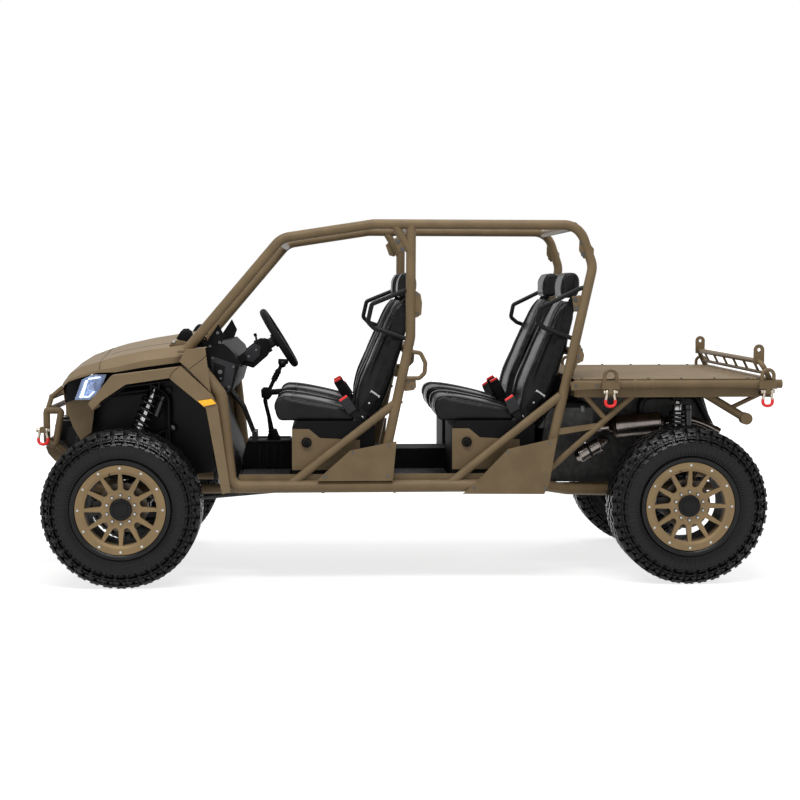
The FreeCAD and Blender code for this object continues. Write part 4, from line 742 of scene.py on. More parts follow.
def sunk(outline, by, first, last):
    """The outline of the centre panel: its face lies lower than the bolsters."""
    lower = []
    for index, (x, z) in enumerate(outline):
        if first <= index <= last:
            before, after = outline[index - 1], outline[(index + 1) % len(outline)]
            along = Vector((after[0] - before[0], after[1] - before[1])).normalized()
            x, z = x + along.y * by, z - along.x * by
        lower.append((x, z))
    return lower


def three_columns(outline, panel_sink, face):
    """Two bolsters and the lower centre panel between them, as one mesh."""
    low, high = SEAT_LOW_Y + COVER_INSET, SEAT_HIGH_Y - COVER_INSET
    reach = BOLSTER - PANEL_OVERLAP
    return joined("cover", [
        plate(outline, low, low + BOLSTER, "vinyl", BOLSTER_BEVEL, 3),
        plate(sunk(outline, panel_sink, *face), low + reach, high - reach, "vinyl", BOLSTER_BEVEL / 2, 2),
        plate(outline, high - BOLSTER, high, "vinyl", BOLSTER_BEVEL, 3)])


def blown_up(obj, cap, pinned):
    """Cloth with pressure inside, held where it is pinned; no point goes further than the cap."""
    scene = bpy.context.scene
    start = [vertex.co.copy() for vertex in obj.data.vertices]
    still = [vertex.index for vertex in obj.data.vertices if pinned(vertex.co, vertex.normal)]
    held = obj.vertex_groups.new(name="Held")
    held.add(still, 1.0, "REPLACE")
    cloth = obj.modifiers.new("Cloth", "CLOTH")
    cloth.settings.quality = 4
    cloth.settings.mass = 0.3
    cloth.settings.tension_stiffness = 12
    cloth.settings.compression_stiffness = 12
    cloth.settings.bending_stiffness = 0.6
    cloth.settings.use_pressure = True
    cloth.settings.uniform_pressure_force = CLOTH_PRESSURE
    cloth.settings.effector_weights.gravity = 0
    cloth.settings.vertex_group_mass = held.name
    cloth.collision_settings.use_collision = False
    cloth.point_cache.frame_end = CLOTH_FRAMES
    for frame_number in range(1, CLOTH_FRAMES + 1):
        scene.frame_set(frame_number)
    pick(obj)
    bpy.ops.object.modifier_apply(modifier=cloth.name)
    for vertex, before in zip(obj.data.vertices, start):
        path = vertex.co - before
        if path.length > cap:
            vertex.co = before + path * (cap / path.length)
    obj.vertex_groups.clear()
    scene.frame_set(1)


def plumped(obj, voxel, cap, pinned):
    """Blow a cover up a little, held at its seams and where it rests."""
    modified(obj, "REMESH", mode="VOXEL", voxel_size=voxel)
    blown_up(obj, cap, pinned)
    modified(obj, "SMOOTH", factor=0.5, iterations=3)
    return smooth(obj, 60)


def near_seam(y, lines):
    """Whether a point lies at one of the seams."""
    return any(abs(y - line) < SEAM_REACH for line in lines)


def spread_along(points, step):
    """Points every step along a line."""
    points = [Vector(point) for point in points]
    dense = [points[0]]
    for start, end in zip(points, points[1:]):
        count = max(1, round((end - start).length / step))
        dense += [start.lerp(end, (index + 1) / count) for index in range(count)]
    return dense


def piping_on(cover, lines, radius=0.0026, lift=0.0008, step=0.016):
    """Welts sewn along lines on a cover."""
    welts = []
    for line in lines:
        path = []
        for point in spread_along(line, step):
            hit, at, normal, _ = cover.closest_point_on_mesh(point)
            path.append(at + normal * lift if hit else point)
        welts.append(pipe(path, radius, "piping", 2))
    return joined("welts", welts)


def at_places(model, label, node=None, leans=True):
    """Copy a piece of the front left seat to all four; the lean grows over the first 110 mm."""
    for row, shift, lean in ROWS:
        leant = copied(model, "leant", Matrix())
        for vertex in leant.data.vertices:
            vertex.co.x -= lean * leans * min(1.0, max(0.0, vertex.co.z - LEAN_FROM_Z) / LEAN_OVER)
        for side, matrix in (("left", Matrix()), ("right", MIRROR)):
            piece = copied(leant, "_".join((label, row, side)), Matrix.Translation((shift, 0, 0)) @ matrix)
            dressed(piece, (node,) if node else ())
        bpy.data.objects.remove(leant)
    bpy.data.objects.remove(model)


def cushion_cover():
    """Cushion of the front left seat, and its welts."""
    cover = three_columns(CUSHION_OUTLINE, CUSHION_SINK, CUSHION_FACE)

    def pinned(at, normal):
        top = near_seam(at.y, SEAMS) and (normal.z > 0.2 or normal.x > 0.4)
        across = abs(at.x - CUSHION_SEAM_X) < SEAM_REACH and normal.z > 0.5 and SEAMS[0] < at.y < SEAMS[1]
        return at.z < CUSHION_FOOT_Z or at.x < CUSHION_REAR_X or top or across

    plumped(cover, CUSHION_CELL, SEAT_SWELL, pinned)
    lines = [[(x, y, z + 0.01) for x, z in CUSHION_OUTLINE[1:8]] + [(0.7, y, 0.9)] for y in WELTS]
    lines.append([(CUSHION_SEAM_X, seam, 0.99) for seam in SEAMS])
    return cover, piping_on(cover, lines)


def back_cover():
    """Backrest of the front left seat, and its welts."""
    cover = three_columns(BACK_OUTLINE, BACK_SINK, BACK_FACE)
    for vertex in cover.data.vertices:
        vertex.co.y = narrowed(vertex.co.y, vertex.co.z)

    def pinned(at, normal):
        lines = [narrowed(seam, at.z) for seam in SEAMS]
        face = near_seam(at.y, lines) and normal.x > 0.2
        across = abs(at.z - BACK_SEAM_Z) < SEAM_REACH and normal.x > 0.5 and lines[0] < at.y < lines[1]
        return at.z < BACK_FOOT_Z or face or across

    plumped(cover, BACK_CELL, SEAT_SWELL, pinned)
    lines = [[(x + 0.012, narrowed(y, z), z) for x, z in BACK_OUTLINE[1:8]] for y in WELTS]
    lines.append([(0.135, narrowed(seam, BACK_SEAM_Z), BACK_SEAM_Z) for seam in SEAMS])
    return cover, piping_on(cover, lines)


def headrest_cover():
    """Headrest of the front left seat, and its welts."""
    low, high = HEADREST_Y
    cover = plate(HEADREST_OUTLINE, low, high, "vinyl", 0.016, 3)
    plumped(cover, HEADREST_CELL, HEADREST_SWELL, lambda at, normal: at.z < HEADREST_FOOT_Z)
    ends = (low + EDGE_WELT, high - EDGE_WELT)
    lines = [[(x + 0.008, y, z) for x, z in HEADREST_OUTLINE[1:4]] for y in ends]
    lines.append([(0.02, y, 1.612) for y in ends])
    return cover, piping_on(cover, lines)


class BUGGY_OT_seats(Operator):
    """Add the padded seats with their welts"""
    bl_idname = "buggy.seats"
    bl_label = "Seats"

    def execute(self, context):
        for label, maker, node, fill, leans in (
            ("Cushion", cushion_cover, "seat_cushions", 0.8, False),
            ("Backrest", back_cover, "seat_backs", 0.8, True),
            ("Headrest", headrest_cover, "headrests", 0.85, True),
        ):
            cover, welts = maker()
            at_places(cover, label, node, leans)
            at_places(welts, label + "_piping", leans=leans)
        return {"FINISHED"}


# ---------------------------------------------------------------- shocks
COIL_TURNS = 8.5
COIL_SHARES = (0.42, 0.58)
SPRING_SPLIT = 0.47
SPRING_START = 0.0765
SPRING_END = 0.07
SPLIT_HALF = 0.006
COIL_RADIUS = 0.046
EYE_REACH = 0.0365
EYE_INSET = 0.018
DAMPER_EYE = ((0.008, -0.0165), (0.0165, -0.0165), (0.018, -0.015), (0.018, 0.015), (0.0165, 0.0165),
              (0.008, 0.0165))
RESERVOIR_PLACE = (-0.058, 0.035, 0)


def shock_ends(low_x, high_x):
    """Ends of the left shock of one axle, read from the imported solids."""
    points = [vertex.co for vertex in NODES["shocks"].data.vertices
              if vertex.co.y > 0 and low_x < vertex.co.x < high_x]
    top_z, foot_z = max(point.z for point in points), min(point.z for point in points)
    ends = []
    for level, side in ((top_z, -1), (foot_z, 1)):
        near = [point for point in points if abs(point.z - level) < EYE_REACH]
        ends.append(Vector(((min(p.x for p in near) + max(p.x for p in near)) / 2,
                            (min(p.y for p in near) + max(p.y for p in near)) / 2, level + side * EYE_INSET)))
    return ends


def helix(turns, radius, start, end, per_turn=14):
    """Points of a coil round the Y axis."""
    count = int(turns * per_turn)
    return [(radius * math.cos(2 * math.pi * step / per_turn), start + (end - start) * step / count,
             radius * math.sin(2 * math.pi * step / per_turn)) for step in range(count + 1)]


def coil_over(top, foot, wire):
    """Damper, springs, reservoir and eyes between two points, its X kept as level as can be."""
    length = (foot - top).length
    middle = length * SPRING_SPLIT
    gap = SPLIT_HALF + wire
    parts = [
        lathe([(0.0, 0.012), (0.012, 0.012), (0.012, 0.028), (0.0255, 0.03), (0.0265, 0.034), (0.0265, 0.062),
               (0.0235, 0.065), (0.0235, 0.1), (0.0258, 0.102), (0.0258, 0.106), (0.0235, 0.108),
               (0.0235, 0.114), (0.0258, 0.116), (0.0258, 0.12), (0.0235, 0.122), (0.0235, length * 0.58),
               (0.01, length * 0.59), (0.01, length - 0.012), (0.0, length - 0.012)], "damper", 32),
        lathe([(0.024, 0.066), (0.0445, 0.066), (0.046, 0.068), (0.046, 0.0735), (0.0445, 0.0755),
               (0.024, 0.0755)], "gloss", 32),
        lathe([(0.024, middle - 0.006), (0.0435, middle - 0.006), (0.0435, middle + 0.006),
               (0.024, middle + 0.006)], "gloss", 32),
        lathe([(0.01, length - 0.07), (0.045, length - 0.07), (0.046, length - 0.068),
               (0.046, length - 0.062), (0.02, length - 0.056), (0.01, length - 0.05)], "gloss", 32)]
    runs = ((SPRING_START + wire, middle - gap), (middle + gap, length - SPRING_END - wire))
    for share, (start, end) in zip(COIL_SHARES, runs):
        parts.append(pipe(helix(COIL_TURNS * share, COIL_RADIUS - wire, start, end), wire, "spring", 1))
    parts.append(moved(lathe([(0.0, 0.0), (0.017, 0.0), (0.0185, 0.0015), (0.0185, 0.11), (0.017, 0.1115),
                              (0.0, 0.1115)], "spring", 24), RESERVOIR_PLACE))
    parts.append(moved(lathe([(0.0187, 0.02), (0.02, 0.02), (0.02, 0.03), (0.0187, 0.03)], "gloss", 24),
                       RESERVOIR_PLACE))
    parts.append(bar((-0.02, 0.042, 0), (-0.054, 0.042, 0), 0.01, "gloss", 12))
    for at in (0.0, length):
        parts.append(moved(lathe(DAMPER_EYE, "gloss", 28), (0, at, 0), QUARTER_TURN))
        parts.append(bar((-0.0168, at, 0), (0.0168, at, 0), 0.0085, "dark_bolt", 16))
    along = (foot - top).normalized()
    level = (Vector((1, 0, 0)) - along * along.x).normalized()
    turn = Matrix((level, along, level.cross(along))).transposed().to_4x4()
    return moved(joined("shock", parts), top, turn)


class BUGGY_OT_shocks(Operator):
    """Add the coil-over shocks"""
    bl_idname = "buggy.shocks"
    bl_label = "Shocks"

    def execute(self, context):
        for name, low, high in (("Shock_front", 1.0, 2.0), ("Shock_rear", -2.0, -1.0)):
            shock = coil_over(*shock_ends(low, high), context.scene.buggy_sizes.wire)
            pair(name, [shock], ("shocks",))
        return {"FINISHED"}


# ---------------------------------------------------------------- belts
def strap(points, width, thickness, facing=(0, 1, 0)):
    """Flat webbing along points; facing is the way its flat side looks."""
    points = spread_along(points, 0.018)
    facing = Vector(facing).normalized()
    deselect()
    bpy.ops.mesh.primitive_grid_add(x_subdivisions=len(points) - 1, y_subdivisions=1, size=1)
    obj = made("webbing")
    grid = sorted(obj.data.vertices, key=lambda vertex: (round(vertex.co.x, 5), vertex.co.y))
    for index, point in enumerate(points):
        before, after = points[max(0, index - 1)], points[min(len(points) - 1, index + 1)]
        edge = (after - before).cross(facing).normalized() * width / 2
        grid[2 * index].co = point - edge
        grid[2 * index + 1].co = point + edge
    modified(obj, "SOLIDIFY", thickness=thickness, offset=0)
    return bevelled(obj, thickness * 0.3, 2, 50)


def slanted(start, end, half_width, y0, y1, finish, bevel, taper=1.0):
    """A block along a run in X and Z, its far end narrower by the taper."""
    start, end = Vector(start), Vector(end)
    along = (end - start).normalized()
    side = Vector((along.y, -along.x)) * half_width
    corners = (start - side, end - side * taper, end + side * taper, start + side)
    return plate([tuple(corner) for corner in corners], y0, y1, finish, bevel, 3)


BUCKLE_START, BUCKLE_END = (0.298, 0.931), (0.35, 1.0225)
OUTER_BUCKLE_START, OUTER_BUCKLE_END = (0.276, 0.893), (0.322, 0.96)
OUTER_BUCKLE_Y = (0.5965, 0.6125)
BUCKLE_Y = (0.0885, 0.1085)
STALK_START = (0.216, 0.79)
LATCH_START, LATCH_END = (0.206, 0.914), (0.16, 0.983)
STRAP_Y = 0.5925
SHOULDER_BELT = ((0.158, 0.5935, 0.986), (0.13, 0.595, 1.06), (0.098, 0.596, 1.14), (0.066, 0.5955, 1.22),
                 (0.036, 0.588, 1.31), (0.012, 0.576, 1.4), (-0.01, 0.564, 1.462), (-0.036, 0.556, 1.49))


def buckle_head(start, end, half_width, low, high, finish):
    """The head of a buckle, with a step near its end and the red button over the slot."""
    start, end = Vector(start), Vector(end)
    along = (end - start).normalized()
    return [slanted(start, end, half_width, low, high, finish, 0.003, 1.04),
            slanted(end - along * 0.019, end - along * 0.002, half_width * 0.95, low - 0.0012, high + 0.0012,
                    finish, 0.001),
            slanted(end - along * 0.003, end + along * 0.0095, half_width * 0.93, low + 0.0008, high - 0.0008,
                    "red", 0.0018)]


def buckle_parts():
    """Buckle of the front left seat: webbing stalk, head, collar, anchor bolt and spacer."""
    low, high = BUCKLE_Y
    middle = (low + high) / 2
    stalk = strap([(x, middle, z) for x, z in (STALK_START, BUCKLE_START)], 0.026, 0.0055)
    return [*buckle_head(BUCKLE_START, BUCKLE_END, 0.023, low, high, "moulded"),
            slanted((0.287, 0.911), BUCKLE_START, 0.0165, low + 0.003, high - 0.003, "moulded", 0.002), stalk,
            bolt((0.216, low + 0.0065, 0.8), (0, -1, 0), 0.008, 0.006, "zinc"),
            bar((0.216, middle + 0.002, 0.8), (0.216, 0.1197, 0.8), 0.0095, "satin")]


def outer_buckle_parts():
    """The second buckle of a seat, on its own short strap beside the lap belt."""
    low, high = OUTER_BUCKLE_Y
    middle = (low + high) / 2
    x, z = OUTER_BUCKLE_START
    return [*buckle_head(OUTER_BUCKLE_START, OUTER_BUCKLE_END, 0.0255, low, high, "grey_moulded"),
            strap([(0.231, middle - 0.006, 0.846), (0.254, middle, 0.868), (x + 0.004, middle, z + 0.004)],
                  0.034, 0.004)]


def lap_parts():
    """Lap and shoulder belt on the outer side of the front left seat, with the latch plate they share."""
    return [
        strap([(0.229, STRAP_Y, 0.848), (0.22, STRAP_Y, 0.885), (LATCH_START[0], STRAP_Y, LATCH_START[1])],
              0.044, 0.0026),
        slanted((0.212, 0.905), LATCH_END, 0.0215, STRAP_Y - 0.002, STRAP_Y + 0.0055, "moulded", 0.002, 1.1),
        slanted((0.163, 0.978), (0.155, 0.99), 0.028, STRAP_Y - 0.001, STRAP_Y + 0.0045, "steel", 0.0015),
        bar((0.19, STRAP_Y + 0.004, 0.938), (0.19, STRAP_Y + 0.0068, 0.938), 0.0045, "steel", 16),
        strap(SHOULDER_BELT, 0.046, 0.0026, (0.25, 1, 0.1)),
        bar((0.229, STRAP_Y - 0.002, 0.862), (0.229, STRAP_Y + 0.006, 0.862), 0.01, "zinc", 6)]


class BUGGY_OT_belts(Operator):
    """Add the belts with their buckles and latch plates"""
    bl_idname = "buggy.belts"
    bl_label = "Belts"

    def execute(self, context):
        for name, maker in (("Buckle", buckle_parts), ("Outer_buckle", outer_buckle_parts),
                            ("Lap_belt", lap_parts)):
            at_places(joined(name, maker()), name, "seat_belts")
        return {"FINISHED"}


# ---------------------------------------------------------------- shackles
SHACKLE_PLACES = (
    # name, x, y on the left side, z
    ("deck_front", -1.047, 0.722, 1.0),
    ("deck_rear", -1.865, 0.722, 1.0),
    ("bumper", 1.907, 0.384, 0.783),
)
BOW_SHAPE = ((-0.0185, 0.0), (-0.019, -0.02), (-0.0245, -0.04), (-0.0262, -0.056), (-0.019, -0.07),
             (0.0, -0.0762))
SHACKLE_EAR = ((0.0045, -0.006), (0.0115, -0.006), (0.0128, -0.0045), (0.0128, 0.0045), (0.0115, 0.006),
               (0.0045, 0.006))
SLEEVE_TOP_Z = -0.036


def shackle_parts():
    """A bow shackle about its pin: steel bow, red lower half, screw pin and ears."""
    path = [(x, 0, z) for x, z in BOW_SHAPE] + [(-x, 0, z) for x, z in reversed(BOW_SHAPE[:-1])]
    parts = [pipe(path, 0.0072, "shackle", 6),
             pipe([point for point in path if point[2] < SLEEVE_TOP_Z], 0.0083, "red", 6)]
    for side in SIDES:
        parts.append(moved(lathe(SHACKLE_EAR, "shackle", 24), (side * 0.02, 0, 0), QUARTER_TURN))
    return parts + [bar((-0.034, 0, 0), (0.034, 0, 0), 0.007, "shackle", 20, 0.001),
                    bar((0.028, 0, 0), (0.036, 0, 0), 0.011, "shackle", 20, 0.0015),
                    bar((-0.0365, 0, 0), (-0.028, 0, 0), 0.0105, "shackle", 6, 0.001)]


class BUGGY_OT_shackles(Operator):
    """Add the bow shackles with their red bows"""
    bl_idname = "buggy.shackles"
    bl_label = "Shackles"

    def execute(self, context):
        model = joined("shackle", shackle_parts())
        for name, x, y, z in SHACKLE_PLACES:
            for side, word in ((1, "left"), (-1, "right")):
                piece = copied(model, "_".join(("Shackle", name, word)), Matrix.Translation((x, y * side, z)))
                dressed(piece, ("shackles",))
        bpy.data.objects.remove(model)
        return {"FINISHED"}


# ---------------------------------------------------------------- lamps
LENS_OUTLINE = ((1.7142, 0.954), (1.6325, 0.9558), (1.5868, 1.0003), (1.5463, 1.0872), (1.6055, 1.0872),
                (1.6415, 1.0762), (1.6742, 1.0605))
LENS_Y = (0.4705, 0.544)
LENS_THICKNESS = 0.0035
SURROUND_WIDTH = 0.0125
TRAY_TOP_Y = 0.5
LAMP_PLATES = (
    # outline in X and Z, y from, y to, finish, bevel: three lit bars and the reflector
    (((1.6905, 0.966), (1.6765, 0.966), (1.644, 1.052), (1.658, 1.05)), 0.505, 0.538, "led", 0.002),
    (((1.644, 1.058), (1.585, 1.0665), (1.5815, 1.0745), (1.639, 1.068)), 0.505, 0.538, "led", 0.0015),
    (((1.676, 0.9665), (1.64, 0.9675), (1.61, 0.996), (1.616, 1.001), (1.643, 0.976), (1.6735, 0.9745)),
     0.505, 0.536, "led", 0.0015),
    (((1.66, 0.985), (1.633, 0.988), (1.608, 1.046), (1.633, 1.046)), 0.502, 0.515, "reflector", 0.004),
)
PROJECTOR = ((0.0, 0.0), (0.017, 0.0), (0.0175, 0.004), (0.015, 0.012), (0.01, 0.016), (0.0, 0.018))
PROJECTOR_PLACE = (1.6335, 0.512, 1.016)
MARKER_OUTLINE = ((1.064, 0.9605), (0.9942, 0.9702), (0.97, 0.9465), (1.0345, 0.9318))


def shrunk(outline, by):
    """An outline drawn smaller towards its middle."""
    middle = Vector((sum(x for x, z in outline), sum(z for x, z in outline))) / len(outline)
    return [tuple(middle + (Vector(point) - middle) * (1 - by)) for point in outline]


def headlamp_parts():
    """Left lamp: black tray, light blue surround, lit bars, a reflector between them, and the projector."""
    tray = plate(shrunk(LENS_OUTLINE, 0.01), LENS_Y[0], TRAY_TOP_Y, "gloss", 0.002)
    rim = opened([(x, TRAY_TOP_Y, z) for x, z in shrunk(LENS_OUTLINE, 0.02)], "lamp_surround", "NGON")
    pushed(0.036)
    bpy.ops.mesh.inset(thickness=SURROUND_WIDTH, depth=0)
    pushed(-0.03)
    closed()
    bevelled(rim, 0.0022)
    lit = plates_from(LAMP_PLATES)
    return [tray, rim, *lit, moved(lathe(PROJECTOR, "lamp_bulb", 32), PROJECTOR_PLACE)]


class BUGGY_OT_lamps(Operator):
    """Add the headlamps, their lenses, the side markers and the tail lamps"""
    bl_idname = "buggy.lamps"
    bl_label = "Lamps"

    def execute(self, context):
        pair("Lamp_inside", headlamp_parts(), ("headlamps",))
        lens = plate(LENS_OUTLINE, LENS_Y[1] - LENS_THICKNESS, LENS_Y[1], "lamp_glass", 0.0015)
        pair("Lens", [lens], ("headlamps",))
        tail = block((-1.9055, 0.4815, 0.9815), (-1.9003, 0.5885, 1.0165), "red_lens", 0.002)
        pair("Tail_lens", [tail], ("tail_lamps",))
        marker = plate(MARKER_OUTLINE, 0.7125, 0.7198, "amber", 0.002)
        pair("Marker", [marker], ("turn_lenses",))
        return {"FINISHED"}


# ---------------------------------------------------------------- cabin controls and plates
WHEEL_TILT = math.radians(58.6)
COLUMN_AXIS = Vector((math.sin(WHEEL_TILT), 0, -math.cos(WHEEL_TILT)))
STEERING_CENTRE = (0.663, 0.33, 1.267)
GRIP_RADIUS = 0.16
GRIP_SIDES = 18
COLUMN_PLATES = (
    # outline in X and Z, y from, y to, finish, bevel: the column's block, cover, foot and stalk base
    (((0.834, 1.214), (0.765, 1.266), (0.722, 1.262), (0.706, 1.236), (0.72, 1.176), (0.798, 1.108),
      (0.861, 1.129)), 0.286, 0.374, "moulded", 0.006),
    (((0.846, 1.196), (0.79, 1.238), (0.756, 1.226), (0.764, 1.176), (0.8, 1.14), (0.846, 1.15)),
     0.374, 0.386, "grey_moulded", 0.004),
    (((0.905, 1.15), (0.846, 1.196), (0.826, 1.16), (0.88, 1.112)), 0.272, 0.388, "moulded", 0.006),
    (((0.8, 1.25), (0.768, 1.262), (0.76, 1.246), (0.792, 1.232)), 0.3, 0.326, "moulded", 0.003),
)
COLUMN_BOLTS = ((0.822, 0.386, 1.172, 0.0055), (0.782, 0.386, 1.206, 0.0045))
DASH_PLATES = (
    # the dashboard's side, the step and the foot on it, and the step on the pillar's gusset
    (((1.01, 1.184), (0.88, 1.138), (0.906, 1.008), (0.934, 0.984), (0.994, 1.026)), 0.5582, 0.564,
     "grey_moulded", 0.003),
    (((0.994, 1.15), (0.934, 1.128), (0.944, 1.054), (0.972, 1.044), (0.99, 1.072)), 0.564, 0.5672,
     "moulded", 0.0015),
    (((0.98, 1.03), (0.925, 1.02), (0.92, 1.006), (0.938, 0.992), (0.974, 1.014)), 0.564, 0.5668,
     "moulded", 0.0012),
    (((1.026, 1.236), (0.97, 1.326), (0.95, 1.284), (0.966, 1.236), (1.008, 1.212)), 0.5522, 0.5556,
     "moulded", 0.0015),
)
CABIN_BOLTS = (
    # x, y, z, radius
    (1.012, 0.5556, 1.231, 0.006), (0.972, 0.5556, 1.302, 0.006), (0.962, 0.5556, 1.252, 0.006),
    (0.998, 0.564, 1.17, 0.0048), (0.892, 0.564, 1.126, 0.0048), (0.916, 0.564, 1.022, 0.0048),
    (0.96, 0.5672, 1.1, 0.0085), (0.957, 0.5672, 1.066, 0.0045),
    (-0.012, 0.617, 1.052, 0.0055), (-0.03, 0.617, 1.022, 0.0055),
    (-0.058, 0.607, 1.5, 0.005), (-0.06, 0.607, 1.402, 0.005),
    (-0.896, 0.628, 1.176, 0.006), (-0.862, 0.628, 1.092, 0.005), (-0.912, 0.628, 1.214, 0.005),
)
PANEL_BOLTS = (
    # x, z
    (0.42, 0.565), (0.275, 0.69), (0.09, 0.728), (0.098, 0.57),
    (-0.35, 0.505), (-0.52, 0.69), (-0.74, 0.736), (-0.716, 0.5),
)
PANEL_BOLT_RADIUS = 0.0055
STORAGE_FACE_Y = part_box("storage_panels")[1].y - 0.0005
KNOB_PLACES = (0.515, -0.317)
KNOB_PROFILE = ((0.0, 0.0085), (0.012, 0.008), (0.015, 0.005), (0.016, 0.0), (0.0265, 0.0),
                (0.0265, 0.0045), (0.0215, 0.006), (0.0205, 0.002), (0.0175, 0.002),
                (0.0165, -0.002), (0.0, -0.002))
STALK = ((0.786, 0.313, 1.23), (0.782, 0.313, 1.264), (0.79, 0.313, 1.286))
GAITER = ((0.0122, 0.0), (0.0185, 0.004), (0.015, 0.012), (0.0185, 0.02), (0.015, 0.028),
          (0.0185, 0.036), (0.015, 0.044), (0.018, 0.052), (0.015, 0.066), (0.0122, 0.07))
FOOT_GAITER = ((0.0122, 0.062), (0.024, 0.05), (0.021, 0.044), (0.031, 0.03), (0.029, 0.022),
               (0.04, 0.008), (0.04, 0.0), (0.0122, 0.0))
GRIP_BLOCK = ((0.772, 0.925), (0.776, 0.968), (0.762, 0.982), (0.722, 0.98), (0.718, 0.93), (0.735, 0.912))
HUB_COVER = ((0.0, 0.0135), (0.03, 0.0125), (0.0385, 0.008), (0.0395, -0.004), (0.0385, -0.01), (0.0, -0.01))


def lever_parts():
    """Shift lever: T handle and its neck, two gaiters, and the hand grip with its collar, block and link."""
    return [
        bar((0.624, 0, 1.1235), (0.68, 0, 1.1255), 0.015, "moulded", 24, 0.005),
        bar((0.664, 0, 1.1), (0.656, 0, 1.12), 0.013, "moulded", 20, 0.003),
        aimed(lathe(GAITER, "moulded", 24, 60), (0.706, 0, 1.018), (0.672, 0, 1.085)),
        aimed(lathe(FOOT_GAITER, "moulded", 28, 60), (0.704, 0, 0.6905), (0.712, 0, 0.727)),
        bar((0.742, 0, 0.952), (0.574, 0, 0.966), 0.0165, "moulded", 24, 0.006),
        bar((0.735, 0, 0.9526), (0.716, 0, 0.9542), 0.0205, "satin", 24, 0.002),
        plate(GRIP_BLOCK, -0.0215, 0.0215, "moulded", 0.004),
        bar((0.748, 0.013, 0.92), (0.722, 0.018, 0.7), 0.007, "satin", 16),
    ]


def steering_trim():
    """Hub cover and ring, grip and spoke pads, made in the plane of the steering wheel."""
    parts = [lathe(HUB_COVER, "grey_moulded", 40),
             lathe([(0.024, 0.0138), (0.026, 0.0138), (0.026, 0.0125), (0.024, 0.0125)], "satin", 40)]
    angles = [2 * math.pi * step / GRIP_SIDES for step in range(GRIP_SIDES)]
    grip = [(GRIP_RADIUS + 0.0176 * math.cos(angle), 0.0188 * math.sin(angle)) for angle in angles]
    parts.append(lathe(grip, "moulded", 72, 60))
    for angle in (90, 270, 180):
        pad = block((0.036, -0.005, -0.0175), (0.128, 0.006, 0.0175), "moulded", 0.004)
        parts.append(moved(pad, (0, 0, 0), Matrix.Rotation(math.radians(angle), 4, "Y")))
    turn = (-COLUMN_AXIS).to_track_quat("Y", "X").to_matrix().to_4x4()
    return moved(joined("Wheel_trim", parts), STEERING_CENTRE, turn)


def knob_parts():
    """The round knobs of the storage panels, each with its bar."""
    parts = []
    for x in KNOB_PLACES:
        parts.append(moved(lathe(KNOB_PROFILE, "moulded", 36), (x, STORAGE_FACE_Y, 0.735)))
        parts.append(block((x - 0.0115, STORAGE_FACE_Y + 0.006, 0.7315),
                           (x + 0.0115, STORAGE_FACE_Y + 0.0115, 0.7385), "moulded", 0.002))
    return parts


class BUGGY_OT_cabin(Operator):
    """Add the column block, the levers, the plates behind the front pillars and their bolts"""
    bl_idname = "buggy.cabin"
    bl_label = "Cabin"

    def execute(self, context):
        stalk = [pipe(STALK, 0.0055, "moulded"),
                 bar((0.7875, 0.313, 1.274), (0.7925, 0.313, 1.291), 0.0085, "moulded", 20, 0.003)]
        single("Column_trim", plates_from(COLUMN_PLATES) + stalk + side_bolts(COLUMN_BOLTS))
        single("Lever", lever_parts())
        dressed(steering_trim(), body="hand_wheel")
        pair("Cabin_plates", plates_from(DASH_PLATES) + side_bolts(CABIN_BOLTS))
        outer_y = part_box("sill_panels")[1].y
        bolts = side_bolts([(x, outer_y, z, PANEL_BOLT_RADIUS) for x, z in PANEL_BOLTS])
        pair("Panel_bolts", bolts)
        pair("Storage_knobs", knob_parts())
        return {"FINISHED"}


# ---------------------------------------------------------------- body seams and hood latches
SEAM_LINES = (
    # points in X, Y and Z on the left side of the body: nose seam, hood rib, fender seam, quarter seam
    ((1.59, 0.0, 1.202), (1.59, 0.3, 1.176), (1.59, 0.47, 1.151), (1.582, 0.545, 1.109)),
    ((1.56, 0.3, 1.19), (1.352, 0.33, 1.225), (1.13, 0.345, 1.262)),
    ((1.162, 0.7125, 1.138), (1.205, 0.7125, 1.092), (1.2035, 0.7125, 1.073)),
    ((1.109, 0.6925, 1.121), (1.012, 0.6925, 1.192)),
)
SEAM_STEP = 0.03
SEAM_DEPTH = 0.0004
BODY_NODES = ("hood", "nose_cap", "nose_panels", "front_fenders")
LATCH_PULL = ((1.197, 1.267), (1.168, 1.312), (1.116, 1.313), (1.101, 1.262), (1.135, 1.246))
LATCH_STEP = ((1.176, 1.288), (1.16, 1.32), (1.128, 1.321), (1.118, 1.296))
LATCH_SADDLE = ((1.232, 1.232), (1.215, 1.256), (1.186, 1.262), (1.15, 1.256), (1.12, 1.242), (1.12, 1.228))


def under_body(point):
    """The place just under the nearest body panel."""
    best = None
    for name in BODY_NODES:
        hit, at, normal, _ = NODES[name].closest_point_on_mesh(point)
        if hit and (best is None or (at - point).length < (best[0] - point).length):
            best = (at, normal)
    return best[0] - best[1] * SEAM_DEPTH


class BUGGY_OT_body_trim(Operator):
    """Add the joint lines and the hood latches"""
    bl_idname = "buggy.body_trim"
    bl_label = "Body trim"

    def execute(self, context):
        paths = [[under_body(point) for point in spread_along(line, SEAM_STEP)] for line in SEAM_LINES]
        pair("Joint_lines", [pipe(path, 0.0014, "joint", 2) for path in paths])
        pair("Latch", [
            plate(LATCH_PULL, 0.425, 0.465, "moulded", 0.008, 3),
            plate(LATCH_STEP, 0.433, 0.457, "moulded", 0.006, 3),
            plate(LATCH_SADDLE, 0.415, 0.475, "tan", 0.004),
            bar((1.206, 0.41, 1.253), (1.206, 0.48, 1.253), 0.0075, "zinc", 16, 0.0015)])
        return {"FINISHED"}


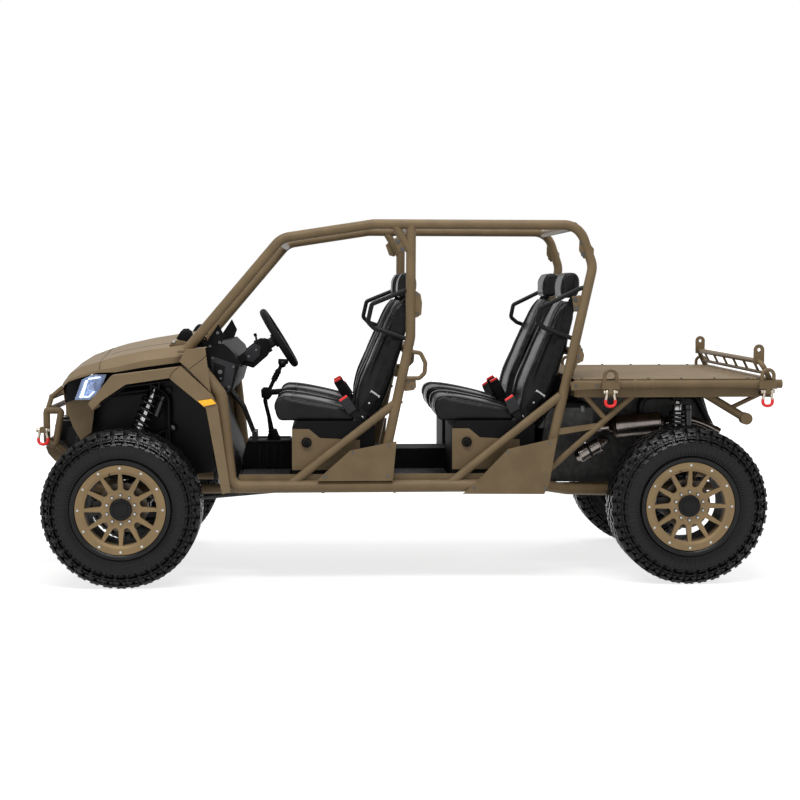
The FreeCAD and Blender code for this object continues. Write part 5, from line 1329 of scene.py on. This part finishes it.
# ---------------------------------------------------------------- deck, exhaust and engine
DECK_BOLTS = ([(-0.905 - 0.173 * index, 0.676) for index in range(6)] + [(-1.825, 0.676), (-1.89, 0.676)])
LOOP_PLACES = (-1.047, -1.865)
LOOP_Y = 0.708
LOOP_FOOT_Z = 1.054
LOOP_BOLT_SHIFT = 0.034
COUPLINGS = (-1.095, -1.179, -1.272)
DECK_TUBE = (0.69, 1.038)
DECK_TUBE_RADIUS = 0.023
DECK_SIDE_WEDGE = ((-0.841, 1.052), (-0.846, 1.008), (-1.003, 1.016), (-1.003, 1.046))


def along_x(x0, x1, radius, finish, bevel):
    """A short ring or cap on the left deck tube."""
    return bar((x0, *DECK_TUBE), (x1, *DECK_TUBE), radius, finish, 40, bevel)


class BUGGY_OT_deck_trim(Operator):
    """Add the deck's bolts, tube couplings and corner wedges"""
    bl_idname = "buggy.deck_trim"
    bl_label = "Deck trim"

    def execute(self, context):
        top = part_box("cargo_deck")[1].z
        bolts = [bolt((x, y * side, top), (0, 0, 1), 0.0065, 0.005) for x, y in DECK_BOLTS for side in SIDES]
        bolts += [bolt((x + shift, LOOP_Y * side, LOOP_FOOT_Z), (0, 0, 1), 0.006, 0.005)
                  for x in LOOP_PLACES for side in SIDES for shift in (-LOOP_BOLT_SHIFT, LOOP_BOLT_SHIFT)]
        single("Deck_bolts", bolts)
        trim = [along_x(x - 0.008, x + 0.008, DECK_TUBE_RADIUS + 0.003, "tan", 0.0015) for x in COUPLINGS]
        trim.append(along_x(-1.9446, -1.942, DECK_TUBE_RADIUS - 0.002, "moulded", 0.001))
        trim.append(plate(DECK_SIDE_WEDGE, 0.7065, 0.7165, "tan", 0.002))
        trim.append(block((-0.99, 0.69, 1.022), (-0.86, 0.707, 1.044), "tan", 0.002))
        trim += [bolt((x, 0.7165, 1.032), (0, 1, 0), 0.0055, 0.0045) for x in (-0.868, -0.978)]
        pair("Deck_rail_trim", trim)
        return {"FINISHED"}


# start, end, radius, and the share of it at the ends
MUFFLER = (Vector((-1.098, 0.385, 0.7855)), Vector((-1.405, 0.385, 0.811)), 0.0605, 0.38)
CAN = (Vector((-0.914, 0.45, 0.631)), Vector((-1.058, 0.45, 0.71)), 0.0385, 0.5)
TAIL_RADIUS = 0.0215
LEAD_RADIUS = 0.0195
CAN_PIPE_RADIUS = 0.0175
CLAMP_SHIFT = 0.08
TAIL_CLAMP_PLACE = (-1.5, 0.324, 0.8225)
TAIL_RUN = ((-1.39, 0.345, 0.812), (-1.436, 0.324, 0.82), (-1.55, 0.324, 0.823), (-1.64, 0.362, 0.794),
            (-1.701, 0.385, 0.757))
LEAD_RUN = ((-1.145, 0.385, 0.79), (-1.07, 0.385, 0.783), (-1.022, 0.365, 0.78), (-1.01, 0.3, 0.771),
            (-1.01, 0.24, 0.766))
CAN_RUN = ((-1.045, 0.45, 0.703), (-1.085, 0.43, 0.716), (-1.087, 0.33, 0.716), (-1.085, 0.24, 0.716))
TIP_PROFILE = ((0.018, 0.0), (0.0225, 0.0), (0.023, 0.004), (0.0225, 0.03), (0.0215, 0.032), (0.018, 0.03))
ROLLED_SEAM = 0.0022


def canister(start, end, radius, taper):
    """A silencer: pressed ends and rolled seams."""
    length = (end - start).length
    seam, end_run = radius + ROLLED_SEAM, radius * 0.55
    profile = [(0.0, 0.0), (radius * taper, 0.0), (radius - 0.006, end_run * 0.75), (radius, end_run),
               (seam, end_run + 0.001), (seam, end_run + 0.006), (radius, end_run + 0.008)]
    profile += [(out, length - run) for out, run in reversed(profile)]
    return aimed(lathe(profile, "exhaust", 56), start, end)


def ring_clamp(centre, axis, inner, thickness):
    """A band round a tube, with a split lug and its screw."""
    half, outer = 0.006, inner + thickness
    parts = [lathe([(inner, -half), (outer, -half), (outer, half), (inner, half)], "satin", 40),
             block((-0.008, -half, inner + thickness * 0.4), (0.008, half, inner + 0.016), "satin", 0.0015),
             bar((-0.015, 0, inner + 0.01), (0.015, 0, inner + 0.01), 0.0038, "zinc", 10)]
    centre = Vector(centre)
    return aimed(joined("clamp", parts), centre, centre + Vector(axis).normalized())


class BUGGY_OT_exhaust(Operator):
    """Add the silencers, the pipes, the tailpipe with its open end, and the clamps"""
    bl_idname = "buggy.exhaust"
    bl_label = "Exhaust"

    def execute(self, context):
        parts = [canister(*MUFFLER), canister(*CAN), pipe(TAIL_RUN, TAIL_RADIUS, "exhaust", 6)]
        outlet = Vector(TAIL_RUN[-1])
        outward = (outlet - Vector(TAIL_RUN[-2])).normalized()
        parts.append(aimed(lathe(TIP_PROFILE, "exhaust", 40), outlet + outward * 0.0015, outlet - outward))
        parts.append(pipe(LEAD_RUN, LEAD_RADIUS, "exhaust", 6))
        parts.append(pipe(CAN_RUN, CAN_PIPE_RADIUS, "exhaust", 6))
        along = (CAN[1] - CAN[0]).normalized()
        parts.append(ring_clamp(CAN[0] + along * CLAMP_SHIFT, along, CAN[2] + 0.0002, 0.0022))
        parts.append(ring_clamp(TAIL_CLAMP_PLACE, (1, 0, 0), TAIL_RADIUS + 0.0002, 0.002))
        single("Exhaust", parts, ("exhaust",))
        return {"FINISHED"}


FIN_COUNT = 9
FIN_FOOT_Z = 0.806
FIN_PITCH = 0.0105
FIN_THICKNESS = 0.004
# each fin is a little shorter than the one below it
FIN_REACH, FIN_REACH_STEP = 0.1925, 0.0006
FIN_REAR_X, FIN_REAR_STEP = -1.196, 0.002
FIN_FRONT_X, FIN_FRONT_STEP = -0.966, 0.0025
ENGINE_TOP_Z = 0.926
COVER_BOLTS = 8
COVER_BOLT_SHARE = 0.92
COVER_Y = -0.2702
COVER_BOLT_Y = -0.272
DISC_PROFILE = (
    # share of the radius, y
    (0.0, 0.0), (0.3, 0.0), (0.34, 0.006), (0.8, 0.008), (0.86, 0.002), (0.98, 0.002), (0.98, -0.003),
    (0.0, -0.003),
)
COVER_DISCS = (
    # x, z, radius
    (-1.0, 0.64, 0.095),
    (-1.165, 0.665, 0.11),
)
HOSES = (
    # radius, path
    (0.026, ((-0.84, 0.332, 0.87), (-0.86, 0.27, 0.88), (-0.93, 0.19, 0.905), (-0.99, 0.12, 0.88),
             (-1.01, 0.09, 0.86))),
    (0.014, ((-1.0, -0.19, 0.85), (-0.92, -0.26, 0.84), (-0.84, -0.33, 0.78), (-0.8, -0.36, 0.64))),
    (0.008, ((-1.08, 0.08, 0.925), (-1.06, 0.14, 0.942), (-0.96, 0.26, 0.94), (-0.88, 0.35, 0.925))),
)
AIR_BOX_LID = ((-0.982, 0.906), (-0.96, 0.9315), (-0.78, 0.9315), (-0.757, 0.905))


def cover_disc(x, z, radius):
    """A round cover on the engine's right side with a ring of bolts."""
    profile = [(radius * share, y) for share, y in DISC_PROFILE]
    parts = [moved(lathe(profile, "moulded", 56), (x, COVER_Y, z), HALF_TURN)]
    ring = radius * COVER_BOLT_SHARE
    for index in range(COVER_BOLTS):
        angle = 2 * math.pi * (index + 0.5) / COVER_BOLTS
        at = (x + ring * math.cos(angle), COVER_BOLT_Y, z + ring * math.sin(angle))
        parts.append(bolt(at, (0, -1, 0), 0.005, 0.0045, "zinc"))
    return parts


class BUGGY_OT_engine(Operator):
    """Add the engine's fins, covers, bolts, hoses and the air box's lid"""
    bl_idname = "buggy.engine"
    bl_label = "Engine"

    def execute(self, context):
        parts = []
        for index in range(FIN_COUNT):
            z = FIN_FOOT_Z + index * FIN_PITCH
            reach = FIN_REACH - index * FIN_REACH_STEP
            rear, front = FIN_REAR_X + index * FIN_REAR_STEP, FIN_FRONT_X - index * FIN_FRONT_STEP
            parts.append(block((rear, -reach, z), (front, reach, z + FIN_THICKNESS), "casting", 0.0012))
        parts.append(block((-1.17, -0.16, 0.9), (-0.998, 0.16, ENGINE_TOP_Z), "moulded", 0.01))
        parts += [bolt((x, y, ENGINE_TOP_Z), (0, 0, 1), 0.0055, 0.005, "zinc")
                  for x in (-1.15, -1.018) for y in (-0.14, 0.0, 0.14)]
        for disc in COVER_DISCS:
            parts += cover_disc(*disc)
        single("Engine_trim", parts)
        hoses = [pipe(path, radius, "moulded", 6) for radius, path in HOSES]
        hoses.append(plate(AIR_BOX_LID, 0.328, 0.5625, "moulded", 0.004))
        hoses += [block((x - 0.01, 0.561, 0.884), (x + 0.01, 0.565, 0.918), "dark_bolt", 0.0015)
                  for x in (-0.93, -0.82)]
        single("Engine_hoses", hoses)
        return {"FINISHED"}


# ---------------------------------------------------------------- winch and sway bar
ROPE_LAYERS = (
    # radius round the drum, which way it is wound
    (0.037, 1),
    (0.0425, -1),
)
ROPE_RADIUS = 0.003
DRUM_X, DRUM_Z = 1.836, 0.76
DRUM_HALF = 0.07
ROPE_TURNS = 15
ROPE_STEPS = 16
FAIRLEAD_X = 1.8895
SWAY_X, SWAY_Z = 1.236, 0.785
SWAY_HALF = ((1.395, 0.3, 0.69), (1.3, 0.3, 0.77), (SWAY_X, 0.296, SWAY_Z), (SWAY_X, 0.24, SWAY_Z))
SWAY_BUSHINGS = (
    # y from, y to, radius, finish, sides, bevel
    (0.262, 0.296, 0.023, "moulded", 32, 0.004),
    (0.296, 0.312, 0.015, "dark_bolt", 24, 0.002),
)


def rope_path(radius, way):
    """One layer of rope round the winch's drum."""
    points = []
    for step in range(ROPE_TURNS * ROPE_STEPS + 1):
        angle = 2 * math.pi * step / ROPE_STEPS
        y = (2 * DRUM_HALF * step / (ROPE_TURNS * ROPE_STEPS) - DRUM_HALF) * way
        points.append((DRUM_X + radius * math.cos(angle), y, DRUM_Z + radius * math.sin(angle)))
    return points


class BUGGY_OT_front_gear(Operator):
    """Add the winch rope, the fairlead with its rollers, and the sway bar"""
    bl_idname = "buggy.front_gear"
    bl_label = "Front gear"

    def execute(self, context):
        rope = [pipe(rope_path(*layer), ROPE_RADIUS, "rope", 1) for layer in ROPE_LAYERS]
        single("Winch_rope", rope)
        fairlead = [block((1.884, -0.1, z), (1.891, 0.1, z + 0.017), "satin", 0.003) for z in (0.783, 0.722)]
        fairlead += [bar((FAIRLEAD_X, y, 0.737), (FAIRLEAD_X, y, 0.785), 0.0085, "steel", 24, 0.002)
                     for y in (0.086, -0.086)]
        fairlead += [bar((FAIRLEAD_X, -0.078, z), (FAIRLEAD_X, 0.078, z), 0.008, "steel", 24, 0.002)
                     for z in (0.775, 0.747)]
        single("Fairlead", fairlead)
        sway = [pipe(SWAY_HALF + tuple((x, -y, z) for x, y, z in reversed(SWAY_HALF)), 0.011, "satin")]
        for side in SIDES:
            for y0, y1, *rest in SWAY_BUSHINGS:
                sway.append(bar((SWAY_X, side * y0, SWAY_Z), (SWAY_X, side * y1, SWAY_Z), *rest))
        single("Sway_bar", sway)
        return {"FINISHED"}


# ---------------------------------------------------------------- floor mats and brackets
MAT_TOP = 0.5435
MAT_PLACES = (
    # name, x from, x to
    ("Mat_front", 0.606, 0.868),
    ("Mat_rear", -0.236, 0.07),
)
RIB_PITCH = 0.0125
LIP_PLACE = 0.1165
PANEL_RIBS = (0.66, 0.7, 0.74, 0.78)
PANEL_RIB_Y = 0.1202
HOOP_PLATE_Y = (0.5985, 0.6045)
HOOP_PLATES = (
    # outline in X and Z, bolt places in X and Z: high and low on the middle hoop's brace, and on the pillar
    (((-0.899, 1.784), (-0.93, 1.792), (-0.975, 1.735), (-0.975, 1.69), (-0.921, 1.684), (-0.897, 1.726)),
     ((-0.912, 1.768), (-0.918, 1.705))),
    (((-0.863, 1.49), (-0.905, 1.496), (-0.94, 1.48), (-0.925, 1.41), (-0.874, 1.41)),
     ((-0.88, 1.474), (-0.886, 1.427))),
    (((0.062, 1.783), (0.025, 1.812), (-0.016, 1.75), (0.01, 1.714), (0.04, 1.722)),
     ((0.042, 1.772), (0.018, 1.732))),
)
HOOP_BOLT_RADIUS = 0.0085


def mat_parts(x0, x1):
    """A moulded mat tray with raised ribs across it, on the left side."""
    parts = [block((x0, 0.1215, 0.505), (x1, 0.632, MAT_TOP - 0.004), "mat", 0.004),
             block((x0 + 0.004, 0.126, MAT_TOP - 0.005), (x0 + 0.014, 0.6275, MAT_TOP), "mat", 0.0015)]
    rib = block((x0 + 0.02, 0.134, MAT_TOP - 0.005), (x0 + 0.0255, 0.62, MAT_TOP - 0.0005), "mat", 0.0012)
    parts.append(modified(rib, "ARRAY", count=int((x1 - x0 - 0.03) / RIB_PITCH), use_relative_offset=False,
                          use_constant_offset=True, constant_offset_displace=(RIB_PITCH, 0, 0)))
    return parts


def upright(x, y, half_x, half_y, low, high, bevel):
    """A grey block about a place seen from above."""
    return block((x - half_x, y - half_y, low), (x + half_x, y + half_y, high), "grey_moulded", bevel)


class BUGGY_OT_mats(Operator):
    """Add the ribbed floor mats and the tunnel's top tray"""
    bl_idname = "buggy.mats"
    bl_label = "Mats"

    def execute(self, context):
        for name, x0, x1 in MAT_PLACES:
            pair(name, mat_parts(x0, x1))
        tray = [block((0.612, side * LIP_PLACE - 0.0035, 0.684), (0.846, side * LIP_PLACE + 0.0035, 0.698),
                      "grey_moulded", 0.003) for side in SIDES]
        tray += [upright(x, 0, 0.0035, 0.116, 0.684, 0.698, 0.003) for x in (0.614, 0.842)]
        tray += [upright(x, side * PANEL_RIB_Y, 0.0015, 0.0015, 0.56, 0.676, 0.001)
                 for x in PANEL_RIBS for side in SIDES]
        single("Tunnel_tray", tray)
        return {"FINISHED"}


class BUGGY_OT_brackets(Operator):
    """Add the bolted brackets inside the hoops"""
    bl_idname = "buggy.brackets"
    bl_label = "Brackets"

    def execute(self, context):
        y0, y1 = HOOP_PLATE_Y
        plates = plates_from([(outline, y0, y1, "tan", 0.002) for outline, places in HOOP_PLATES])
        plates += side_bolts([(x, y1, z, HOOP_BOLT_RADIUS) for outline, places in HOOP_PLATES
                              for x, z in places])
        pair("Hoop_brackets", plates)
        return {"FINISHED"}


# ---------------------------------------------------------------- stage
CAMERA_PLACE = (0.389, 8.558, 1.555)
CAMERA_YAW = math.radians(2.583)
CAMERA_PITCH = math.radians(4.32)
CAMERA_LENS = 69.3
FLOOR_SIZE = 60.0
FLOOR_LIFT = 0.75
WORLD_LEVEL = 0.09
UNSEEN_SHARE = 0.5
LIGHTS = (
    # name, place, aim, size along X, size across, power
    ("Key", (0.8, 3.5, 5.9), (0, 0, 0.9), 6.0, 0.35, 285.0),
    ("Fill", (3.5, 6.5, 2.4), (0.6, 0, 0.8), 3.0, 1.2, 10.0),
    ("Top", (-0.6, -0.3, 6.8), (0, 0, 0.8), 5.0, 0.8, 150.0),
    ("Rim", (-4.0, -4.5, 4.0), (0, 0, 1.0), 2.5, 2.5, 90.0),
)


def looked_at(beside):
    """One where a surface is seen, mirrored or looked through, and half for every other ray."""
    path = grown(beside, "LightPath", {})
    seen = UNSEEN_SHARE
    for ray in ("Is Camera Ray", "Is Transmission Ray", "Is Glossy Ray"):
        seen = grown(beside, "Math", {0: path.outputs[ray], 1: seen}, operation="MAXIMUM").outputs["Value"]
    return seen


def pale_surface():
    """White floor: it keeps the shadow under the vehicle and melts into the white round it."""
    material, shader, _ = surface("Pale_floor", ((0.38, 0.38, 0.38), (0.4, 0.4, 0.4)), 0.4, 3.0)
    length = grown(shader, "VectorMath", {0: object_place(shader)}, operation="LENGTH").outputs["Value"]
    fade = grown(shader, "MapRange", {"From Min": 2.2, "From Max": 5.5, "To Min": FLOOR_LIFT, "To Max": 1.0,
                                      "Value": length}, interpolation_type="SMOOTHSTEP").outputs["Result"]
    lift = grown(shader, "Math", {0: looked_at(shader), 1: fade}, operation="MULTIPLY").outputs["Value"]
    feed(shader, {"Roughness": 0.9, "Specular IOR Level": 0.1, "Emission Color": (1, 1, 1, 1),
                  "Emission Strength": lift})
    return material


def studio_world():
    """White where it is seen or mirrored, and a plain lower level of light elsewhere."""
    world = bpy.data.worlds.new("Studio")
    bpy.context.scene.world = world
    world.use_nodes = True
    background = world.node_tree.nodes["Background"]
    feed(background, {"Color": (1, 1, 1, 1), "Strength": between(looked_at(background), WORLD_LEVEL, 1.0)})


def heading(direction):
    """The turn of a lamp or camera that looks that way."""
    return direction.to_track_quat("-Z", "Y").to_euler()


class BUGGY_OT_stage(Operator):
    """Add the floor, the lights and the camera"""
    bl_idname = "buggy.stage"
    bl_label = "Stage"

    def execute(self, context):
        deselect()
        bpy.ops.mesh.primitive_plane_add(size=FLOOR_SIZE, location=(0, 0, CAD_LOW.z))
        floor = context.object
        floor.name = "Floor"
        floor.data.materials.append(pale_surface())
        studio_world()
        for name, place, aim, along, across, power in LIGHTS:
            bpy.ops.object.light_add(type="AREA", location=place)
            light = context.object
            light.name = name
            light.data.shape = "RECTANGLE"
            light.data.size = along
            light.data.size_y = across
            light.data.energy = power
            light.rotation_euler = heading(Vector(aim) - Vector(place))
        bpy.ops.object.camera_add(location=CAMERA_PLACE)
        camera = context.object
        level = math.cos(CAMERA_PITCH)
        camera.rotation_euler = heading(Vector((-math.sin(CAMERA_YAW) * level, -math.cos(CAMERA_YAW) * level,
                                                -math.sin(CAMERA_PITCH))))
        camera.data.lens = CAMERA_LENS
        camera.data.clip_end = 200
        context.scene.camera = camera
        context.scene.view_settings.view_transform = "Standard"
        return {"FINISHED"}


# ---------------------------------------------------------------- add-on
OPERATORS = (
    BUGGY_OT_finishes, BUGGY_OT_tyres, BUGGY_OT_wheel_trim, BUGGY_OT_seats, BUGGY_OT_shocks,
    BUGGY_OT_belts, BUGGY_OT_shackles, BUGGY_OT_lamps, BUGGY_OT_cabin, BUGGY_OT_body_trim,
    BUGGY_OT_deck_trim, BUGGY_OT_exhaust, BUGGY_OT_engine, BUGGY_OT_front_gear, BUGGY_OT_mats,
    BUGGY_OT_brackets, BUGGY_OT_stage,
)


class BUGGY_PT_panel(Panel):
    """The steps that dress the buggy"""
    bl_label = "Buggy"
    bl_idname = "BUGGY_PT_panel"
    bl_space_type = "VIEW_3D"
    bl_region_type = "UI"
    bl_category = "Buggy"

    def draw(self, context):
        for operator in OPERATORS:
            self.layout.operator(operator.bl_idname)
        for group in (context.scene.buggy_paint, context.scene.buggy_sizes):
            for field in group.bl_rna.properties:
                if field.identifier not in ("rna_type", "name"):
                    self.layout.prop(group, field.identifier)


CLASSES = (BuggyPaint, BuggySizes, BUGGY_PT_panel, *OPERATORS)


def register():
    """Add the settings, the steps and the panel."""
    for cls in CLASSES:
        bpy.utils.register_class(cls)
    bpy.types.Scene.buggy_paint = PointerProperty(type=BuggyPaint)
    bpy.types.Scene.buggy_sizes = PointerProperty(type=BuggySizes)


def unregister():
    """Take them out again."""
    del bpy.types.Scene.buggy_sizes
    del bpy.types.Scene.buggy_paint
    for cls in reversed(CLASSES):
        bpy.utils.unregister_class(cls)


def main():
    """Run every step in turn."""
    register()
    for operator in OPERATORS:
        group, step = operator.bl_idname.split(".")
        getattr(getattr(bpy.ops, group), step)()


if __name__ == "__main__":
    main()
